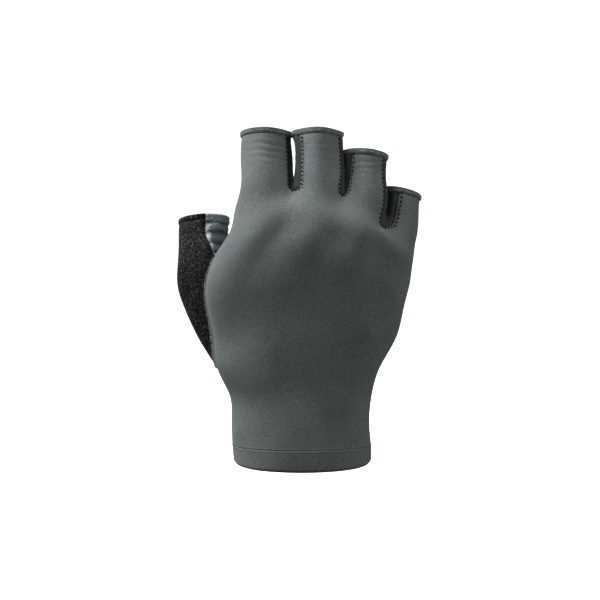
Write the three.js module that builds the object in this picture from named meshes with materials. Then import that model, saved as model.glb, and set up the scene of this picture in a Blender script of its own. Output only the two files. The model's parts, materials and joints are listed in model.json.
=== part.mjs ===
// A short-finger cycling glove for a right hand, in the filled-out form that it has when worn.
// Frame: X runs from the thumb side to the little-finger side, Y from the back of the hand to the palm,
// Z from the cuff to the fingertips. The origin is the middle of the wrist opening. Millimetres.
// The cloth is one smooth surface: a coarse cage of four-sided faces is laid through the sections
// below, subdivided once, and each panel is the stretch of that surface between its seams, given
// its own thickness inwards. Panels meet edge to edge with a seam gap between them.
import * as THREE from "three";

// Cloth thicknesses and the gaps between pieces
const knit_thickness = 1.0;
const palm_thickness = 1.3;
const gusset_thickness = 1.2;
const hem_thickness = 2.0;
const hem_stands_proud = 0.7;
const cuff_hem_thickness = 1.6;
const cuff_hem_stands_proud = 0.2;
const seam_gap = 0.3;

// The wrist end
const cuff_width = 63;
const cuff_depth = 44;
const cuff_hem_height = 7.2;
const cuff_back_droop = 2.2;

// The hand, measured from the middle of the wrist
const body_height = 121.3; // cuff rim to the crotch between index and middle finger
const thumb_side_reach = 43;
const heel_height = 43; // cuff rim to the palm panel's lower corners
const heel_dip = 9;
const little_side_drop = 24; // how much lower the little finger starts than the index finger
const knuckle_height = 1.4;

// The fingers
const index_offset = 16; // the index finger's middle, towards the thumb from the wrist's middle
const index_lean = 0.5; // how much further out its opening lies
const finger_root_depth = 8.5; // the finger roots' middle, towards the back of the hand
const web_depth_allowance = 2; // how much thicker the hand is at the webs than a finger
const finger_clearance = 0.6; // between neighbouring hems
const web_width = 1.2; // between neighbouring roots
const finger_hem_height = 2.2;
const web_rise = 5.5; // the top of the web above the lowest point of the seam on the back
const palm_web_rise = 4;
const back_seam_angle = 53; // from the middle of a finger's back round to its seam

// Widths at the root and at the opening, the sleeve's depth, and its length from the root
const finger_sizes = [
  { name: "index", root_width: 22.8, width: 21.8, depth: 20.4, length: 25.8 },
  { name: "middle", root_width: 20.4, width: 21.4, depth: 20.4, length: 27.0 },
  { name: "ring", root_width: 17.6, width: 19.2, depth: 19.0, length: 25.8 },
  { name: "little", root_width: 15.4, width: 16.4, depth: 17.2, length: 19.7 },
];
// How far the finger is set towards the palm, how much higher the back edge of its opening stands,
// and in degrees the opening's slope, the bend towards the palm and the turn of the finger's back
const finger_poses = [
  { name: "index", set_in: 1, rise: 0.9, slope: 0, flex: 17, roll: 8 },
  { name: "middle", set_in: 0, rise: 0.9, slope: 0.5, flex: 17, roll: 4 },
  { name: "ring", set_in: 2.5, rise: 1.0, slope: 6.3, flex: 17, roll: 5 },
  { name: "little", set_in: 8, rise: 0.9, slope: 13.4, flex: 16, roll: 36 },
];
const fingers = finger_sizes.map((size, i) => ({ ...size, ...finger_poses[i] }));
// How far below body_height each seam on the back reaches, from the thumb side on
const web_drops = [0, 0, 2.4, 16, little_side_drop];

// The thumb's sleeve
const thumb = { width: 22.4, depth: 22, slope: -3.8, rise: 1.4, set_in: 8 };
const thumb_drop = 12.1; // its opening, below body_height
const thumb_stands_out = 2.2; // the opening's middle, beyond thumb_side_reach
const thumb_hem_height = 2.4;
const thumb_bulge = 0.66; // how far the thumb's base swings out, as a share of its length
const thumb_stretch = 0.42; // the straight run below its opening, likewise
const thumb_outwards = new THREE.Vector3(-0.52, 0.1, 0.85); // the way that its base leaves the hand
const thumb_downwards = new THREE.Vector3(0, -0.15, -1); // the way back down from its opening
const thumb_ring_shares = [0.14, 0.4, 0.7, 1]; // its rings, along the lines from the hole
// Where those lines end round its opening, in degrees from the index finger's side over the back
const thumb_angles = [80, 105, 130, 155, 180, 205, 230, 255, 280, 308, 350, 35];
const gusset_lines = 9; // the gusset lies between the last three of these lines and the first

// The hand's outline and depth by height, as shares of body_height. Left goes from half of
// cuff_width (0) to thumb_side_reach (1), right from there to the outer side of the little finger's
// root (1), slim from cuff_depth (0) to the depth at the webs (1), and forward is the middle's
// share of finger_root_depth.
const profile = [
  { height: 0.0, left: -0.05, right: -0.04, slim: 0.0, forward: 0.0 },
  { height: 0.08, left: 0.01, right: -0.04, slim: 0.03, forward: 0.0 },
  { height: 0.17, left: 0.01, right: -0.06, slim: 0.07, forward: -0.02 },
  { height: 0.23, left: 0.02, right: -0.03, slim: 0.08, forward: -0.02 },
  { height: 0.28, left: 0.24, right: 0.05, slim: 0.08, forward: 0.0 },
  { height: 0.34, left: 0.6, right: 0.17, slim: 0.08, forward: 0.04 },
  { height: 0.39, left: 0.74, right: 0.33, slim: 0.1, forward: 0.1 },
  { height: 0.45, left: 0.76, right: 0.51, slim: 0.13, forward: 0.2 },
  { height: 0.52, left: 0.86, right: 0.643, slim: 0.18, forward: 0.34 },
  { height: 0.59, left: 1.0, right: 0.773, slim: 0.24, forward: 0.5 },
  { height: 0.67, left: 0.95, right: 0.862, slim: 0.3, forward: 0.7 },
  { height: 0.73, left: 0.82, right: 0.903, slim: 0.36, forward: 0.85 },
  { height: 0.78, left: 0.45, right: 0.924, slim: 0.43, forward: 0.97 },
  { height: 0.83, left: 0.13, right: 0.954, slim: 0.53, forward: 1.03 },
  { height: 0.89, left: -0.04, right: 0.97, slim: 0.68, forward: 1.03 },
  { height: 0.96, left: -0.22, right: 0.99, slim: 0.88, forward: 1.0 },
  { height: 1.0, left: -0.33, right: 1.0, slim: 1.0, forward: 0.97 },
];

// The cage's rows from the cuff up: height on the thumb side as a share of body_height, the share
// of little_side_drop that the row falls on the other side, the shares of heel_dip on the palm and
// of knuckle_height on the back, and how far its stations have moved from even spacing at the
// wrist (0) to the fingers' own places (1).
const rows = [
  { height: 0.0, fan: 0.0, dip: 0.0, knuckle: 0.0, spread: 0.0 },
  { height: cuff_hem_height / body_height, fan: 0.0, dip: 0.0, knuckle: 0.0, spread: 0.0 },
  { height: 0.15, fan: 0.0, dip: 0.1, knuckle: 0.0, spread: 0.0 },
  { height: 0.25, fan: 0.02, dip: 0.55, knuckle: 0.0, spread: 0.05 },
  { height: heel_height / body_height, fan: 0.06, dip: 1.0, knuckle: 0.0, spread: 0.2 },
  { height: 0.487, fan: 0.2, dip: 0.5, knuckle: 0.0, spread: 0.4 },
  { height: 0.627, fan: 0.4, dip: 0.15, knuckle: 0.15, spread: 0.6 },
  { height: 0.76, fan: 0.6, dip: 0.0, knuckle: 0.7, spread: 0.8 },
  { height: 0.845, fan: 0.74, dip: 0.0, knuckle: 1.0, spread: 0.9 },
  { height: 0.92, fan: 0.87, dip: 0.0, knuckle: 0.5, spread: 1.0 },
];
const heel_row = 4; // the palm panel's lower edge, and the foot of the thumb hole
const hole_head_row = 7; // the head of the thumb hole
const hole_stations = 3; // how far the thumb hole reaches into the palm
const squareness = 2.3; // 2 would make the sections ellipses
const fall_start = 0.4; // where across the hand its rows start to fall, and how sharply
const fall_power = 1.5;
const set_in_start = 0.5; // where they start to follow the little finger towards the palm
const set_in_power = 1.6;
const sleeve_shares = [0.5, 1]; // a finger sleeve's rings, between its root and its hem

const radians = THREE.MathUtils.degToRad;

// A smooth line through one column of the profile, read at a height in millimetres.
function read(column, z) {
  const share = THREE.MathUtils.clamp(z / body_height, 0, 1);
  const next = Math.max(1, profile.findIndex((row) => row.height >= share));
  const [a, b] = [profile[next - 1], profile[next]];
  const before = profile[Math.max(0, next - 2)];
  const after = profile[Math.min(profile.length - 1, next + 1)];
  const span = b.height - a.height;
  const t = (share - a.height) / span;
  const slope_a = ((b[column] - before[column]) / (b.height - before.height)) * span;
  const slope_b = ((after[column] - a[column]) / (after.height - a.height)) * span;
  const [t2, t3] = [t * t, t * t * t];
  return (
    (2 * t3 - 3 * t2 + 1) * a[column] + (t3 - 2 * t2 + t) * slope_a +
    (3 * t2 - 2 * t3) * b[column] + (t3 - t2) * slope_b
  );
}

const between = (from, to, share) => from + (to - from) * share;
const hand_depth = (z) => between(cuff_depth, web_depth, read("slim", z));
const hand_middle = (z) => -finger_root_depth * read("forward", z);

// How far apart two neighbouring sleeves stand, side by side, given their widths, the gap between
// them and how much further towards the palm one is set.
function apart(width, next_width, gap, inwards) {
  const reach = (width + next_width) / 2 + gap;
  return Math.sqrt(reach * reach - inwards * inwards);
}

const web_heights = web_drops.map((drop) => body_height - drop);
const web_depth = Math.max(...fingers.map((finger) => finger.depth)) + web_depth_allowance;
fingers.forEach((finger, i) => {
  finger.root_z = (web_heights[i] + web_heights[i + 1]) / 2;
  finger.top = finger.root_z + finger.length;
  const bend = Math.tan(radians(finger.flex));
  const share_at = (z) => THREE.MathUtils.clamp((z - finger.root_z) / finger.length, -0.5, 1);
  finger.share_at = share_at;
  finger.axis_x = (z) => between(finger.root_x, finger.opening_x, share_at(z));
  finger.axis_y = (z) => -finger_root_depth + finger.set_in + bend * (z - finger.root_z);
  const before = fingers[i - 1];
  if (!before) {
    finger.root_x = -index_offset;
    finger.opening_x = -index_offset - index_lean;
    return;
  }
  const inwards = finger.set_in - before.set_in;
  const opening_inwards = finger.axis_y(finger.top) - before.axis_y(finger.top);
  const opening_gap = 2 * hem_stands_proud + finger_clearance;
  finger.root_x = before.root_x + apart(before.root_width, finger.root_width, web_width, inwards);
  finger.opening_x =
    before.axis_x(finger.top) + apart(before.width, finger.width, opening_gap, opening_inwards);
});

// A point of a finger's sleeve, at an angle from the middle of its back round towards the little
// finger and at a height measured at its axis.
function sleeve_point(finger, angle, height) {
  const open = Math.max(0, finger.share_at(height));
  const turn = radians(angle + finger.roll);
  const across = (Math.sin(turn) * between(finger.root_width, finger.width, open)) / 2;
  const forward = Math.cos(turn);
  return new THREE.Vector3(
    finger.axis_x(height) + across,
    finger.axis_y(height) - (forward * finger.depth) / 2,
    height + open * (forward * finger.rise - Math.tan(radians(finger.slope)) * across),
  );
}

// A finger ring's eight stations, from the thumb side over the back.
const ring_angles = [
  -90, -back_seam_angle, 0, back_seam_angle, 90, 180 - back_seam_angle, 180, 180 + back_seam_angle,
];

// Where each of a finger's eight station lines starts: on the webs beside it.
function root_heights(i) {
  const [left, right] = [web_heights[i], web_heights[i + 1]];
  const rise_left = i === 0 ? 0 : web_rise;
  const rise_right = i === fingers.length - 1 ? 0 : web_rise;
  const palm_left = left + (i === 0 ? 0 : palm_web_rise);
  const palm_right = right + (i === fingers.length - 1 ? 0 : palm_web_rise);
  return [
    left + rise_left, left, (left + right) / 2, right,
    right + rise_right, palm_right, (palm_left + palm_right) / 2, palm_left,
  ];
}

const points = [];
const faces = [];
const add = (point) => points.push(point) - 1;
const face = (panel, a, b, c, d) => faces.push({ panel, corners: [a, b, c, d] });

// The web row: the fingers' root points in the order of a body row, thumb side first.
const finger_rings = fingers.map((finger, i) => [
  root_heights(i).map((height, k) => add(sleeve_point(finger, ring_angles[k], height))),
]);
const web_row = [
  finger_rings[0][0][0],
  ...finger_rings.flatMap((rings) => rings[0].slice(1, 4)),
  finger_rings.at(-1)[0][4],
  ...finger_rings.toReversed().flatMap((rings) => rings[0].slice(5, 8)),
];
const around = web_row.length;
const little_side = 1 + 3 * fingers.length;

// Each station's direction round the hand: 0 faces the back, a quarter turn the little finger.
const quarter = Math.PI / 2;
const web_points = web_row.map((id) => points[id]);
const web_box = new THREE.Box3().setFromPoints(web_points);
const web_directions = web_points.map((p, station) => {
  const share = (p.x - web_box.min.x) / (web_box.max.x - web_box.min.x);
  const turn = Math.asin(2 * share - 1);
  return station < little_side ? turn : 2 * quarter - turn;
});
const even_direction = (station) => -quarter + (4 * quarter * station) / around;

// The hand's edges. On the thumb side, the rows just below the webs follow the index finger.
const right_edge = (z) => between(cuff_width / 2, web_box.max.x, read("right", z));
const thumb_side = (z) => -between(cuff_width / 2, thumb_side_reach, read("left", z));
const follow = (row) => row.spread ** 4;
const left_edge = (z, row) =>
  thumb_side(z) + follow(row) * (web_box.min.x - thumb_side(body_height));

function body_point(row, station) {
  const turn = between(even_direction(station), web_directions[station], row.spread);
  const [sine, cosine] = [Math.sin(turn), Math.cos(turn)];
  const reach = (Math.abs(sine) ** squareness + Math.abs(cosine) ** squareness) ** (-1 / squareness);
  const share = (1 + reach * sine) / 2;
  const past = (start, power) => Math.max(0, (share - start) / (1 - start)) ** power;
  const fall = little_side_drop * past(fall_start, fall_power);
  const base = row.height * body_height - row.fan * fall;
  const dip = row.dip * heel_dip * Math.max(0, -cosine);
  const droop = row.height === 0 ? cuff_back_droop * Math.max(0, cosine) : 0;
  const on_knuckle = station < little_side && station % 3 === 2; // below a finger's middle
  const knuckle = row.knuckle * knuckle_height * (on_knuckle ? 1 : 0);
  const set_in = fingers.at(-1).set_in * row.fan * past(set_in_start, set_in_power);
  return new THREE.Vector3(
    between(left_edge(base, row), right_edge(base), share),
    hand_middle(base) + set_in - (hand_depth(base) / 2) * reach * cosine - knuckle,
    base - dip - droop,
  );
}

const hole_side = around - hole_stations;
const in_thumb_hole = (r, station) =>
  r > heel_row && r < hole_head_row && station > hole_side;
const body_rows = rows.map((row, r) =>
  web_row.map((_, station) => (in_thumb_hole(r, station) ? -1 : add(body_point(row, station)))),
);
body_rows.push(web_row);

// The back panel runs over the back, round both edges of the hand and all round the wrist.
function body_panel(r, station) {
  if (r === 0) return "cuff_hem";
  if (r < heel_row) return "back_panel";
  const on_back = station < little_side;
  const past_little_side = station === little_side;
  const past_thumb_side = station === around - 1 && r >= hole_head_row;
  return on_back || past_little_side || past_thumb_side ? "back_panel" : "palm_panel";
}

for (let r = 0; r < body_rows.length - 1; r++) {
  for (let s = 0; s < around; s++) {
    const in_hole = r >= heel_row && r < hole_head_row && s >= hole_side;
    if (in_hole) continue;
    const t = (s + 1) % around;
    const [low, high] = [body_rows[r], body_rows[r + 1]];
    face(body_panel(r, s), low[s], low[t], high[t], high[s]);
  }
}

// The finger sleeves above the web row, with a hem as the last band.
fingers.forEach((finger, i) => {
  const sleeve_end = finger.top - finger_hem_height;
  const ring = (levels) => levels.map((z, k) => add(sleeve_point(finger, ring_angles[k], z)));
  for (const share of sleeve_shares) {
    finger_rings[i].push(ring(root_heights(i).map((z) => between(z, sleeve_end, share))));
  }
  finger_rings[i].push(ring(ring_angles.map(() => finger.top)));
  finger_rings[i].slice(0, -1).forEach((low, band) => {
    const high = finger_rings[i][band + 1];
    const hem = band === finger_rings[i].length - 2;
    low.forEach((_, k) => {
      const next = (k + 1) % low.length;
      const panel = hem ? `${finger.name}_hem` : sleeve_panel(i, k);
      face(panel, low[k], low[next], high[next], high[k]);
    });
  });
});

// Faces 0 and 7 of a sleeve lie on its thumb side, 3 and 4 on its little-finger side.
function sleeve_panel(i, k) {
  const sides = ["index_middle_side", "middle_ring_side", "ring_little_side"];
  if (k === 1 || k === 2) return "back_panel";
  if (k === 5 || k === 6) return "palm_panel";
  if (k === 0 || k === 7) return i === 0 ? "back_panel" : sides[i - 1];
  return i === fingers.length - 1 ? "back_panel" : sides[i];
}

// The webs between neighbouring fingers belong to the side strips.
for (let i = 0; i < fingers.length - 1; i++) {
  const [own, next] = [finger_rings[i][0], finger_rings[i + 1][0]];
  face(sleeve_panel(i, 3), own[3], next[1], next[0], own[4]);
  face(sleeve_panel(i, 3), own[4], next[0], next[7], own[5]);
}

// The thumb sleeve grows from the points round the thumb hole: up its index-finger side, which
// the gusset fills, down the back panel's edge, along the heel and up the palm.
const hole_rows = rows.map((_, r) => r).filter((r) => r > heel_row && r < hole_head_row);
const hole = [
  body_rows[hole_head_row][0],
  ...hole_rows.toReversed().map((r) => body_rows[r][0]),
  body_rows[heel_row][0],
  ...body_rows[heel_row].slice(hole_side).toReversed(),
  ...hole_rows.map((r) => body_rows[r][hole_side]),
  ...body_rows[hole_head_row].slice(hole_side),
];

function thumb_point(angle, height) {
  const turn = radians(angle);
  const across = (Math.cos(turn) * thumb.width) / 2;
  const forward = Math.sin(turn);
  return new THREE.Vector3(
    -thumb_side_reach - thumb_stands_out + across,
    thumb.set_in - (forward * thumb.depth) / 2,
    height - Math.tan(radians(thumb.slope)) * across + forward * thumb.rise,
  );
}

const thumb_top = body_height - thumb_drop;
const thumb_lines = hole.map((id, k) => {
  const start = points[id];
  const end = thumb_point(thumb_angles[k], thumb_top - thumb_hem_height);
  const reach = start.distanceTo(end);
  const leave = start.clone().addScaledVector(thumb_outwards, reach * thumb_bulge);
  const arrive = end.clone().addScaledVector(thumb_downwards, reach * thumb_stretch);
  return new THREE.CubicBezierCurve3(start, leave, arrive, end);
});
const thumb_rings = [
  hole,
  ...thumb_ring_shares.map((share) => thumb_lines.map((line) => add(line.getPoint(share)))),
  thumb_angles.map((angle) => add(thumb_point(angle, thumb_top))),
];
thumb_rings.slice(0, -1).forEach((low, band) => {
  const high = thumb_rings[band + 1];
  const kind = band === thumb_rings.length - 2 ? "hem" : "panel";
  low.forEach((_, k) => {
    const next = (k + 1) % low.length;
    const side = k < gusset_lines ? "thumb" : "gusset";
    face(`${side}_${kind}`, low[next], low[k], high[k], high[next]);
  });
});

// Catmull-Clark subdivision. An open edge, as at a hem, keeps to its own curve.
const edge_key = (a, b) => (a < b ? `${a}_${b}` : `${b}_${a}`);

function neighbours(mesh) {
  const edges = new Map();
  const at = mesh.points.map(() => ({ faces: [], edges: [] }));
  mesh.faces.forEach((f, index) => {
    f.corners.forEach((a, k) => {
      const b = f.corners[(k + 1) % 4];
      const key = edge_key(a, b);
      if (!edges.has(key)) {
        edges.set(key, { a, b, faces: [] });
        at[a].edges.push(key);
        at[b].edges.push(key);
      }
      edges.get(key).faces.push(index);
      at[a].faces.push(index);
    });
  });
  return { edges, at };
}

const middle = (list) =>
  list.reduce((sum, p) => sum.add(p), new THREE.Vector3()).divideScalar(list.length);

const far_end = (edge, index) => (edge.a === index ? edge.b : edge.a);

function subdivide(mesh) {
  const { edges, at } = neighbours(mesh);
  const made = { points: [], faces: [] };
  const put = (p) => made.points.push(p) - 1;
  const face_points = mesh.faces.map((f) => middle(f.corners.map((c) => mesh.points[c])));
  const open = (key) => edges.get(key).faces.length === 1;
  const corner_ids = mesh.points.map((p, index) => {
    const around_it = at[index];
    const other = (key) => mesh.points[far_end(edges.get(key), index)];
    const rim = around_it.edges.filter(open);
    if (rim.length) {
      return put(p.clone().multiplyScalar(6).add(other(rim[0])).add(other(rim[1])).divideScalar(8));
    }
    const n = around_it.edges.length;
    const ring = middle(around_it.faces.map((f) => face_points[f]));
    const spokes = middle(around_it.edges.map((key) => middle([p, other(key)])));
    return put(ring.add(spokes.multiplyScalar(2)).add(p.clone().multiplyScalar(n - 3)).divideScalar(n));
  });
  const edge_ids = new Map();
  edges.forEach((edge, key) => {
    const ends = [mesh.points[edge.a], mesh.points[edge.b]];
    const sides = open(key) ? [] : edge.faces.map((f) => face_points[f]);
    edge_ids.set(key, put(middle([...ends, ...sides])));
  });
  mesh.faces.forEach((f, index) => {
    const centre = put(face_points[index]);
    f.corners.forEach((c, k) => {
      const after = edge_ids.get(edge_key(c, f.corners[(k + 1) % 4]));
      const before = edge_ids.get(edge_key(c, f.corners[(k + 3) % 4]));
      made.faces.push({ panel: f.panel, corners: [corner_ids[c], after, centre, before] });
    });
  });
  return made;
}

// Where each point of a cage ends up on the smooth surface.
function settled(mesh) {
  const { edges, at } = neighbours(mesh);
  return mesh.points.map((p, index) => {
    const other = (key) => mesh.points[far_end(edges.get(key), index)];
    const rim = at[index].edges.filter((key) => edges.get(key).faces.length === 1);
    if (rim.length) {
      return p.clone().multiplyScalar(4).add(other(rim[0])).add(other(rim[1])).divideScalar(6);
    }
    const n = at[index].edges.length;
    const sum = p.clone().multiplyScalar(n * n);
    at[index].edges.forEach((key) => sum.addScaledVector(other(key), 4));
    at[index].faces.forEach((f) => {
      const corners = mesh.faces[f].corners;
      sum.add(mesh.points[corners[(corners.indexOf(index) + 2) % 4]]);
    });
    return sum.divideScalar(n * (n + 5));
  });
}

// The cage is moved out until the smooth surface passes through the section points themselves.
const fitting_rounds = 8;
const fitting_share = 0.85;
const targets = points.map((p) => p.clone());
const cage = { points, faces };
for (let round = 0; round < fitting_rounds; round++) {
  settled(cage).forEach((p, index) => {
    points[index].addScaledVector(targets[index].clone().sub(p), fitting_share);
  });
}
const surface = subdivide(cage);
surface.points = settled(surface);

const normals = surface.points.map(() => new THREE.Vector3());
surface.faces.forEach(({ corners }) => {
  const [a, b, c, d] = corners.map((id) => surface.points[id]);
  const normal = c.clone().sub(a).cross(d.clone().sub(b));
  corners.forEach((id) => normals[id].add(normal));
});
normals.forEach((normal) => normal.normalize());

// One panel as a closed solid: its outer face, its inner face and the walls along its edges.
function panel_geometry(panel, thickness, proud = 0) {
  const own = surface.faces.filter((f) => f.panel === panel);
  const edges = new Map();
  own.forEach(({ corners }) => {
    corners.forEach((a, k) => edges.set(`${a}>${corners[(k + 1) % 4]}`, [a, corners[(k + 1) % 4]]));
  });
  const rim = [...edges.values()].filter(([a, b]) => !edges.has(`${b}>${a}`));
  // Each edge point steps back from its seam, square to both edges that meet there.
  const inset = new Map();
  rim.forEach(([a, b]) => {
    const along_edge = surface.points[b].clone().sub(surface.points[a]).normalize();
    [a, b].forEach((id) => {
      const inwards = normals[id].clone().cross(along_edge).normalize();
      inset.set(id, [...(inset.get(id) ?? []), inwards]);
    });
  });
  const ids = [...new Set(own.flatMap((f) => f.corners))];
  const index_of = new Map(ids.map((id, k) => [id, k]));
  const outer = [];
  const inner = [];
  ids.forEach((id) => {
    const place = surface.points[id].clone();
    const steps = inset.get(id);
    if (steps) {
      const mean = steps[0].clone().add(steps[1]);
      place.addScaledVector(mean, seam_gap / 2 / (1 + steps[0].dot(steps[1])));
    }
    outer.push(...place.clone().addScaledVector(normals[id], proud));
    inner.push(...place.clone().addScaledVector(normals[id], proud - thickness));
  });
  const triangles = [];
  const quad = (a, b, c, d) => triangles.push(a, b, c, a, c, d);
  const below = ids.length;
  own.forEach(({ corners }) => {
    const [a, b, c, d] = corners.map((id) => index_of.get(id));
    quad(a, b, c, d);
    quad(below + d, below + c, below + b, below + a);
  });
  rim.forEach(([from, to]) => {
    const [a, b] = [index_of.get(from), index_of.get(to)];
    quad(b, a, below + a, below + b);
  });
  const geometry = new THREE.BufferGeometry();
  geometry.setAttribute("position", new THREE.Float32BufferAttribute([...outer, ...inner], 3));
  geometry.setIndex(triangles);
  geometry.computeVertexNormals();
  return geometry;
}

const cloth = (color, roughness) =>
  new THREE.MeshStandardMaterial({ color, roughness, metalness: 0 });
const grey_knit = cloth(0x4f5453, 0.8);
const grey_binding = cloth(0x474c4b, 0.85);
const black_palm = cloth(0x161617, 0.9);
const striped_towelling = cloth(0x5d6e72, 0.95);

const glove = new THREE.Group();
function place(name, material, thickness, proud) {
  const mesh = new THREE.Mesh(panel_geometry(name, thickness, proud), material);
  mesh.name = name;
  glove.add(mesh);
}

place("back_panel", grey_knit, knit_thickness);
place("cuff_hem", grey_knit, cuff_hem_thickness, cuff_hem_stands_proud);
place("palm_panel", black_palm, palm_thickness);
place("thumb_panel", black_palm, palm_thickness);
place("thumb_hem", black_palm, hem_thickness, hem_stands_proud);
place("gusset_panel", striped_towelling, gusset_thickness);
place("gusset_hem", striped_towelling, hem_thickness, hem_stands_proud);
for (const side of ["index_middle_side", "middle_ring_side", "ring_little_side"]) {
  place(side, grey_knit, knit_thickness);
}
for (const finger of fingers) {
  place(`${finger.name}_hem`, grey_binding, hem_thickness, hem_stands_proud);
}

export default glove;
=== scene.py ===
import json
import logging
import math
from dataclasses import dataclass, field
from enum import Enum
from functools import partial
from typing import Any, Callable, NamedTuple

import bpy
import numpy as np
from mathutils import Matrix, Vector
from mathutils.kdtree import KDTree

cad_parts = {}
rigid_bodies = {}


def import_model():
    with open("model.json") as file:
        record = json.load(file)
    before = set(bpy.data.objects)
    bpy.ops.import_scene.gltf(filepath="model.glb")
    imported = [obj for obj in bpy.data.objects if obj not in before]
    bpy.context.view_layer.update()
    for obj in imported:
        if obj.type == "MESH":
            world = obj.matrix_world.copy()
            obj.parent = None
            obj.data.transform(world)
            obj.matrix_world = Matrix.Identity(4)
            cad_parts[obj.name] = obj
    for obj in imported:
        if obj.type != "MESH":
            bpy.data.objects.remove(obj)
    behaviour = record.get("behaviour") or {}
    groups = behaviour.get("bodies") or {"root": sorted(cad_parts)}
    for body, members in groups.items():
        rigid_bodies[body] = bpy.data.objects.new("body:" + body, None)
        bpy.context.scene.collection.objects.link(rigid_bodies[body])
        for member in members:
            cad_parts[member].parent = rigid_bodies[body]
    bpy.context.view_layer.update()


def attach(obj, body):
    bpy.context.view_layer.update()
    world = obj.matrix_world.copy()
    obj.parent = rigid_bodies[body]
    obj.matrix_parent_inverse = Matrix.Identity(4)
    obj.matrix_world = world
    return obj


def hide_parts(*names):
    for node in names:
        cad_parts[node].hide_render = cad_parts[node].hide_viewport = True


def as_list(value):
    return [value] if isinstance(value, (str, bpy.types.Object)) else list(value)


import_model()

MM = 0.001
# A distance in millimetres that counts as far from every seam.
FAR = 99.0
FINE_LEVEL = 4
log = logging.getLogger("glove")


class Panel(Enum):
    """The pieces of the glove, each under the name of the solid that it stands for."""

    BACK = "back_panel"
    CUFF_HEM = "cuff_hem"
    PALM = "palm_panel"
    THUMB = "thumb_panel"
    THUMB_HEM = "thumb_hem"
    GUSSET = "gusset_panel"
    GUSSET_HEM = "gusset_hem"
    INDEX_MIDDLE = "index_middle_side"
    MIDDLE_RING = "middle_ring_side"
    RING_LITTLE = "ring_little_side"
    INDEX_HEM = "index_hem"
    MIDDLE_HEM = "middle_hem"
    RING_HEM = "ring_hem"
    LITTLE_HEM = "little_hem"

    @property
    def number(self) -> int:
        """The panel's place in the list, as the cloth's faces carry it."""
        return list(Panel).index(self)


SIDES = (Panel.INDEX_MIDDLE, Panel.MIDDLE_RING, Panel.RING_LITTLE)
FINGER_HEMS = (Panel.INDEX_HEM, Panel.MIDDLE_HEM, Panel.RING_HEM, Panel.LITTLE_HEM)
ROLLED_HEMS = FINGER_HEMS + (Panel.THUMB_HEM, Panel.GUSSET_HEM)


class Level(NamedTuple):
    """The hand at one height: where its two edges lie, how slim it is and how far forward."""

    height: float
    left: float
    right: float
    slim: float
    forward: float


class Row(NamedTuple):
    """One row of the cloth's cage: its height, and how it falls, dips, rises and spreads."""

    height: float
    fan: float
    dip: float
    knuckle: float
    spread: float


PROFILE = (
    Level(0.0, -0.05, -0.04, 0.0, 0.0),
    Level(0.08, 0.01, -0.04, 0.03, 0.0),
    Level(0.17, 0.01, -0.06, 0.07, -0.02),
    Level(0.23, 0.02, -0.03, 0.08, -0.02),
    Level(0.28, 0.24, 0.05, 0.08, 0.0),
    Level(0.34, 0.6, 0.17, 0.08, 0.04),
    Level(0.39, 0.74, 0.33, 0.1, 0.1),
    Level(0.45, 0.76, 0.51, 0.13, 0.2),
    Level(0.52, 0.86, 0.643, 0.18, 0.34),
    Level(0.59, 1.0, 0.773, 0.24, 0.5),
    Level(0.67, 0.95, 0.862, 0.3, 0.7),
    Level(0.73, 0.82, 0.903, 0.36, 0.85),
    Level(0.78, 0.45, 0.924, 0.43, 0.97),
    Level(0.83, 0.13, 0.954, 0.53, 1.03),
    Level(0.89, -0.04, 0.97, 0.68, 1.03),
    Level(0.96, -0.22, 0.99, 0.88, 1.0),
    Level(1.0, -0.33, 1.0, 1.0, 0.97),
)

# Each finger takes up this many stations of the hand's back.
BACK_STATIONS = 3
# From the middle of a finger's back, the eight stations round its sleeve, in degrees.
SEAM_ANGLE = 53.0
RING_ANGLES = (
    -90.0, -SEAM_ANGLE, 0.0, SEAM_ANGLE, 90.0, 180.0 - SEAM_ANGLE, 180.0, 180.0 + SEAM_ANGLE,
)


def between(start: Any, end: Any, share: Any) -> Any:
    """Goes from start to end by a share of the way."""
    return start + (end - start) * share


def smooth(share: Any) -> Any:
    """Eases a share from 0 to 1 with no kink at either end."""
    held = np.clip(share, 0.0, 1.0)
    return held * held * (3.0 - 2.0 * held)


def read_profile(column: str, share: float) -> float:
    """Reads a smooth line through one column of the profile.

    Args:
        column: The name of the column.
        share: The height as a share of the body's.

    Returns:
        The column's value there.
    """
    share = min(max(share, 0.0), 1.0)
    heights = [level.height for level in PROFILE]
    after = max(1, next(i for i, height in enumerate(heights) if height >= share))
    places = (max(0, after - 2), after - 1, after, min(len(PROFILE) - 1, after + 1))
    h = [heights[i] for i in places]
    v = [getattr(PROFILE[i], column) for i in places]
    span = h[2] - h[1]
    t = (share - h[1]) / span
    slope_a = (v[2] - v[0]) / (h[2] - h[0]) * span
    slope_b = (v[3] - v[1]) / (h[3] - h[1]) * span
    return (
        (2 * t**3 - 3 * t**2 + 1) * v[1] + (t**3 - 2 * t**2 + t) * slope_a
        + (3 * t**2 - 2 * t**3) * v[2] + (t**3 - t**2) * slope_b
    )


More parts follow.
